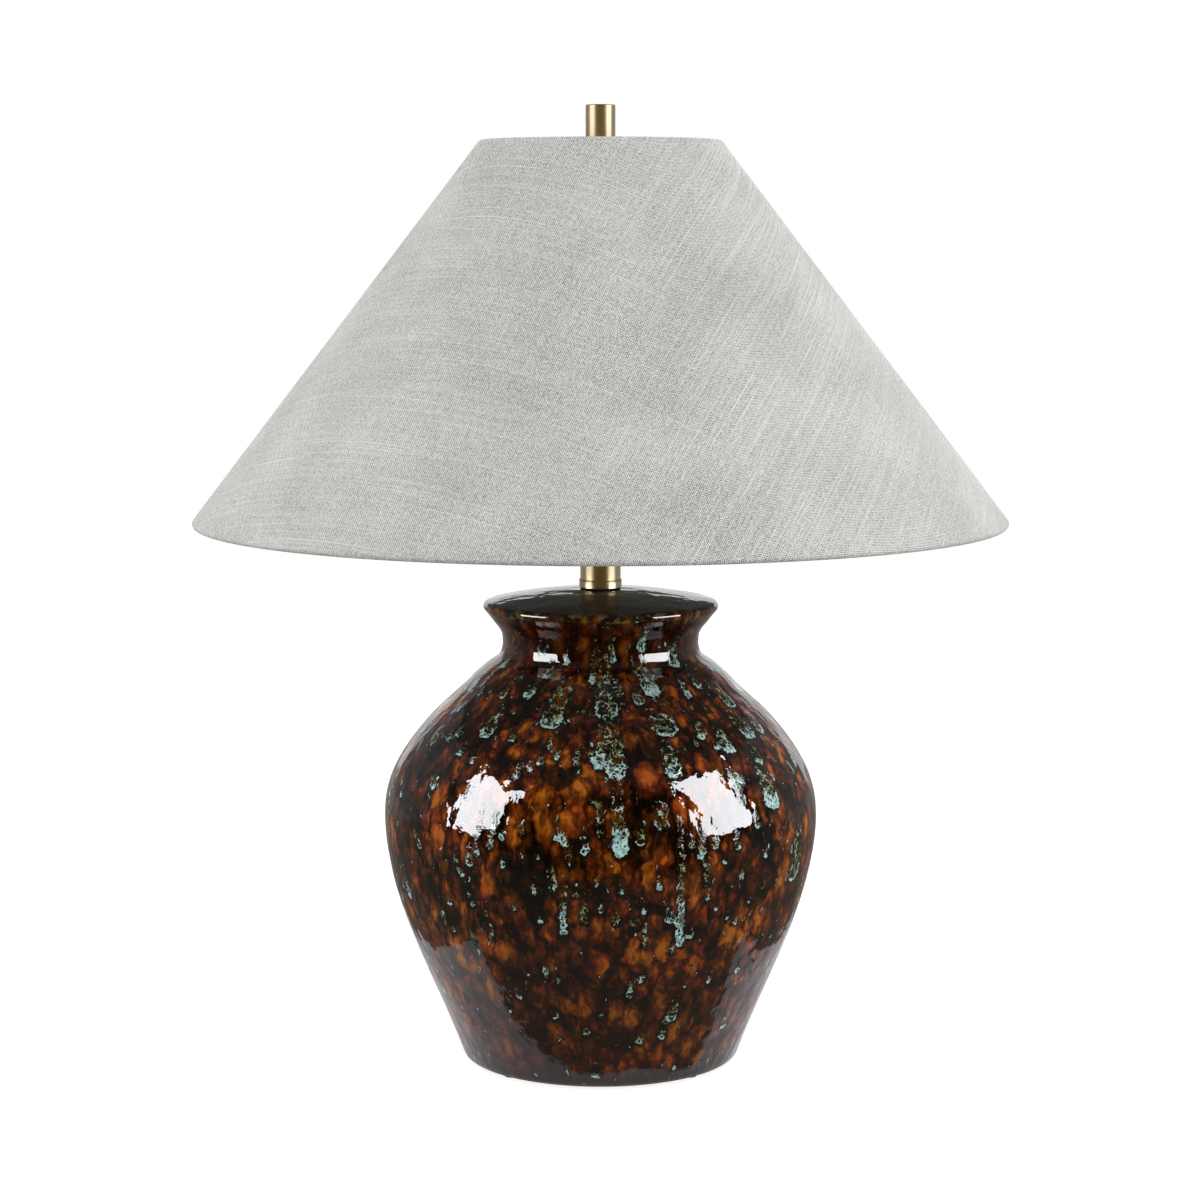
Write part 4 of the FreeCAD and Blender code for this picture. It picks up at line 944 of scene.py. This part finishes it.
def add_throwing_waves(vase):
    """Slow waves of the thrown wall, none at the foot and round the neck."""
    places = read_places(vase)
    radii = turn_and_radius(places)[1]
    weights = np.clip((places[:, 2] - 0.022) / 0.03, 0, 1) * np.clip((radii - 0.045) / 0.02, 0, 1)
    thrown = vase.vertex_groups.new(name="thrown_wall")
    for index in np.nonzero(weights > 0)[0]:
        thrown.add([int(index)], float(weights[index]), "REPLACE")
    waves = bpy.data.textures.new("throwing_waves", "CLOUDS")
    waves.noise_scale = 0.055
    waves.noise_depth = 1
    apply_modifier(vase, "DISPLACE", texture=waves, texture_coords="LOCAL", strength=0.0011,
                   mid_level=0.5, vertex_group="thrown_wall")


def make_vase():
    outline = vase_outline()
    vase = turned_skin("glazed_vase", outline, vase_spin_steps)
    add_throwing_waves(vase)
    cut_outlet(vase)
    lay_drips(vase, outline)
    smooth_shading(vase, 40)
    set_finish(vase, drip_glaze)
    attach(vase, "lamp_base")
    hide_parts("vase")
    return vase


# Linen, laid over two rings: their (radius, level), and the cone between them

lower_ring = np.array([0.2518, 0.34311])
upper_ring = np.array([0.0736, 0.57571])
slant = (upper_ring - lower_ring) / np.hypot(*(upper_ring - lower_ring))
outward = np.array([slant[1], -slant[0]])
roll_radius = 0.00185
bottom_roll_steps = 14
cloth_thickness = 0.0007
shade_spin_steps = 300
seam_half_width = 0.007
seam_lift = 0.00224
seam_margin = 0.001


def linen_outline():
    """The roll round the lower ring, the straight skin and the roll round the upper ring."""
    out_angle = math.degrees(math.atan2(outward[1], outward[0]))
    bottom_roll = round_corner(lower_ring, roll_radius, out_angle - 225, out_angle,
                               bottom_roll_steps)
    top_roll = round_corner(upper_ring, roll_radius, out_angle, out_angle + 150, 10)
    skin = np.linspace(bottom_roll[-1], top_roll[0], 30)
    return np.vstack([bottom_roll, skin[1:-1], top_roll])


def lay_flat_map(piece, outline):
    """A UV map in metres, as the cloth lies flat, with the front middle upright."""
    places = read_places(piece)
    along = nearest_length(places, outline)
    cone_share = -slant[0]
    lower_length = length_along(outline)[bottom_roll_steps]
    from_tip = outline[bottom_roll_steps, 0] / cone_share - (along - lower_length)
    mesh = piece.data
    corner_points = np.empty(len(mesh.loops), int)
    mesh.loops.foreach_get("vertex_index", corner_points)
    turns = turn_and_radius(places)[0][corner_points]
    corner_counts = [len(face.loop_indices) for face in mesh.polygons]
    face_of_corner = np.repeat(np.arange(len(mesh.polygons)), corner_counts)
    centres = np.empty(len(mesh.polygons) * 3)
    mesh.polygons.foreach_get("center", centres)
    left = centres.reshape(-1, 3)[face_of_corner, 0] < 0
    turns = np.where(left & (turns > 3), turns - 2 * math.pi, turns)
    turns = np.where(~left & (turns < -3), turns + 2 * math.pi, turns)
    fanned = turns * cone_share
    reach = from_tip[corner_points]
    flat = np.column_stack([reach * np.sin(fanned), -reach * np.cos(fanned)])
    layer = mesh.uv_layers.new(name="flat_cloth")
    layer.data.foreach_set("uv", flat.astype(np.float32).ravel())


def make_linen_seam():
    """The overlap where the cloth ends meet, down the middle of the back."""
    clear_selection()
    bpy.ops.mesh.primitive_grid_add(x_subdivisions=8, y_subdivisions=40, size=1,
                                    location=(0, 0, 0))
    seam = bpy.context.object
    seam.name = seam.data.name = "linen_seam"
    start = lower_ring + outward * seam_lift + slant * seam_margin
    end = upper_ring + outward * seam_lift - slant * seam_margin
    mesh = seam.data
    for point in mesh.vertices:
        share = point.co.y + 0.5
        radius, level = start + (end - start) * share
        turn = math.pi + point.co.x * 2 * seam_half_width / radius
        point.co = (radius * math.sin(turn), -radius * math.cos(turn), level)
    layer = mesh.uv_layers.new(name="flat_cloth")
    for corner in mesh.loops:
        place = mesh.vertices[corner.vertex_index].co
        turn = math.atan2(place.x, place.y)
        layer.data[corner.index].uv = (turn * math.hypot(place.x, place.y), place.z / slant[1])
    apply_modifier(seam, "SOLIDIFY", thickness=0.0005, offset=1)
    set_finish(seam, linen)
    return seam


def make_shade():
    outline = linen_outline()
    cover = turned_skin("linen_shade", outline, shade_spin_steps)
    lay_flat_map(cover, outline)
    apply_modifier(cover, "SOLIDIFY", thickness=cloth_thickness, offset=0, use_even_offset=True)
    smooth_shading(cover, 50)
    set_finish(cover, linen)
    seam = make_linen_seam()
    smooth_shading(seam, 50)
    for piece in (cover, seam):
        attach(piece, "shade")
    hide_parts("linen_cover")


# Floor and light

# Colours that the glaze and the metal mirror, from below and from the room
mirrored_near_floor = (0.05, 0.033, 0.012)
mirrored_floor = (0.18, 0.16, 0.135)
mirrored_far_floor = (0.34, 0.33, 0.32)
mirrored_table = (0.74, 0.71, 0.73)
mirrored_room = (0.02, 0.014, 0.008)
mirrored_back = (0.26, 0.26, 0.26)
mirrored_sweep = (0.95, 0.95, 0.95)
ambient_light = (0.58, 0.58, 0.58)
seen_white = (1, 1, 1)
floor_glow = 0.86


def mirrored_ground(tree):
    """The floor in mirrors, with a table's front edge and its two sides."""
    across, depth = list(vector_parts(tree, object_place(tree)))[:2]
    front_edge = times(tree, smooth_rise(tree, across, 0.02, 0.085), 0.034)
    behind_edge = minus(tree, depth, plus(tree, front_edge, -0.097))
    table = times(tree, smooth_rise(tree, across, -0.209, -0.203),
                  smooth_fall(tree, across, 0.209, 0.215),
                  smooth_rise(tree, behind_edge, -0.002, 0.002))
    near = smooth_rise(tree, depth, -0.60, -0.16)
    beyond = smooth_rise(tree, depth, 0.1, 1.6)
    shown = mix_colours(tree, near, mirrored_near_floor, mirrored_floor)
    shown = mix_colours(tree, beyond, shown, mirrored_far_floor)
    return mix_colours(tree, table, shown, mirrored_table)


def make_floor():
    """A matt grey floor that glows white to the camera and has set colours in mirrors."""
    clear_selection()
    bpy.ops.mesh.primitive_plane_add(size=9, location=(0, 0, 0))
    floor = bpy.context.object
    floor.name = "studio_floor"
    finish = bpy.data.materials.new("pale_floor")
    tree = empty_tree(finish)
    seen, glossy = ray_kinds(tree)
    matt = add_node(tree, "BsdfDiffuse", {"Color": (0.30, 0.30, 0.30, 1)}).outputs[0]
    glow = add_node(tree, "Emission", {"Color": with_alpha(seen_white),
                                       "Strength": times(tree, seen, floor_glow)}).outputs[0]
    pale = add_node(tree, "AddShader", {0: matt, 1: glow}).outputs[0]
    mirrored = add_node(tree, "Emission", {"Color": mirrored_ground(tree),
                                           "Strength": 1.0}).outputs[0]
    mixed = add_node(tree, "MixShader", {0: glossy, 1: pale, 2: mirrored}).outputs[0]
    add_node(tree, "OutputMaterial", {"Surface": mixed})
    set_finish(floor, finish)


def make_world():
    """White to the camera, an even light, and a dim room with a white sweep in mirrors."""
    world = bpy.data.worlds.new("white_studio")
    bpy.context.scene.world = world
    tree = empty_tree(world)
    seen, glossy = ray_kinds(tree)
    backward = vector_parts(tree, add_node(tree, "TexCoord").outputs["Generated"])[1]
    behind = smooth_rise(tree, backward, -0.15, 0.35)
    sweep = smooth_rise(tree, backward, 0.85, 0.90)
    mirrored = mix_colours(tree, behind, mirrored_room, mirrored_back)
    mirrored = mix_colours(tree, sweep, mirrored, mirrored_sweep)
    colour = mix_colours(tree, glossy, ambient_light, mirrored)
    colour = mix_colours(tree, seen, colour, seen_white)
    sky = add_node(tree, "Background", {"Color": colour, "Strength": 1.0}).outputs[0]
    add_node(tree, "OutputWorld", {"Surface": sky})


def lamp_group(name, pieces):
    group = bpy.data.collections.new(name)
    for piece in pieces:
        group.objects.link(piece)
    return group


front_angle = 67
rear_angle = 143
panel_tint = (0.94, 0.965, 1.0)
card_tint = (1.0, 0.77, 0.0)


def light_studio(vase, others):
    """Two softboxes in front and two behind; the glaze mirrors brighter panels than the metal."""
    plain = lamp_group("plain_pieces", others)
    shiny = lamp_group("shiny_pieces", [vase])
    for side, strength in ((-1, 1.0), (1, 1.2)):
        front = side * front_angle
        box = add_softbox("side_softbox", front, 13, 1.5, (1.15, 1.9), 1.7 * strength)
        box.light_linking.receiver_collection = plain
        fill = add_softbox("vase_softbox", front, 22, 1.56, (1.15, 1.5), 1.7 * strength)
        fill.visible_glossy = False
        fill.light_linking.receiver_collection = shiny
        panel = add_softbox("vase_panel", front, 22, 1.45, (0.82, 1.45), 17.0)
        panel.visible_diffuse = False
        panel.data.color = panel_tint
        panel.light_linking.receiver_collection = shiny
        rear = add_softbox("rear_softbox", side * rear_angle, 24, 1.7, (0.9, 1.3), 1.3)
        rear.visible_glossy = False
    card = add_softbox("front_card", 0, 4, 2.1, (3.6, 3.0), 0.085)
    card.data.color = card_tint
    card.visible_diffuse = False
    card.light_linking.receiver_collection = plain


set_camera()
dress_nodes()
vase = make_vase()
make_shade()
make_floor()
make_world()
meshes = [piece for piece in bpy.data.objects if piece.type == "MESH"]
light_studio(vase, [piece for piece in meshes if piece != vase])
bpy.context.scene.view_settings.view_transform = "Standard"
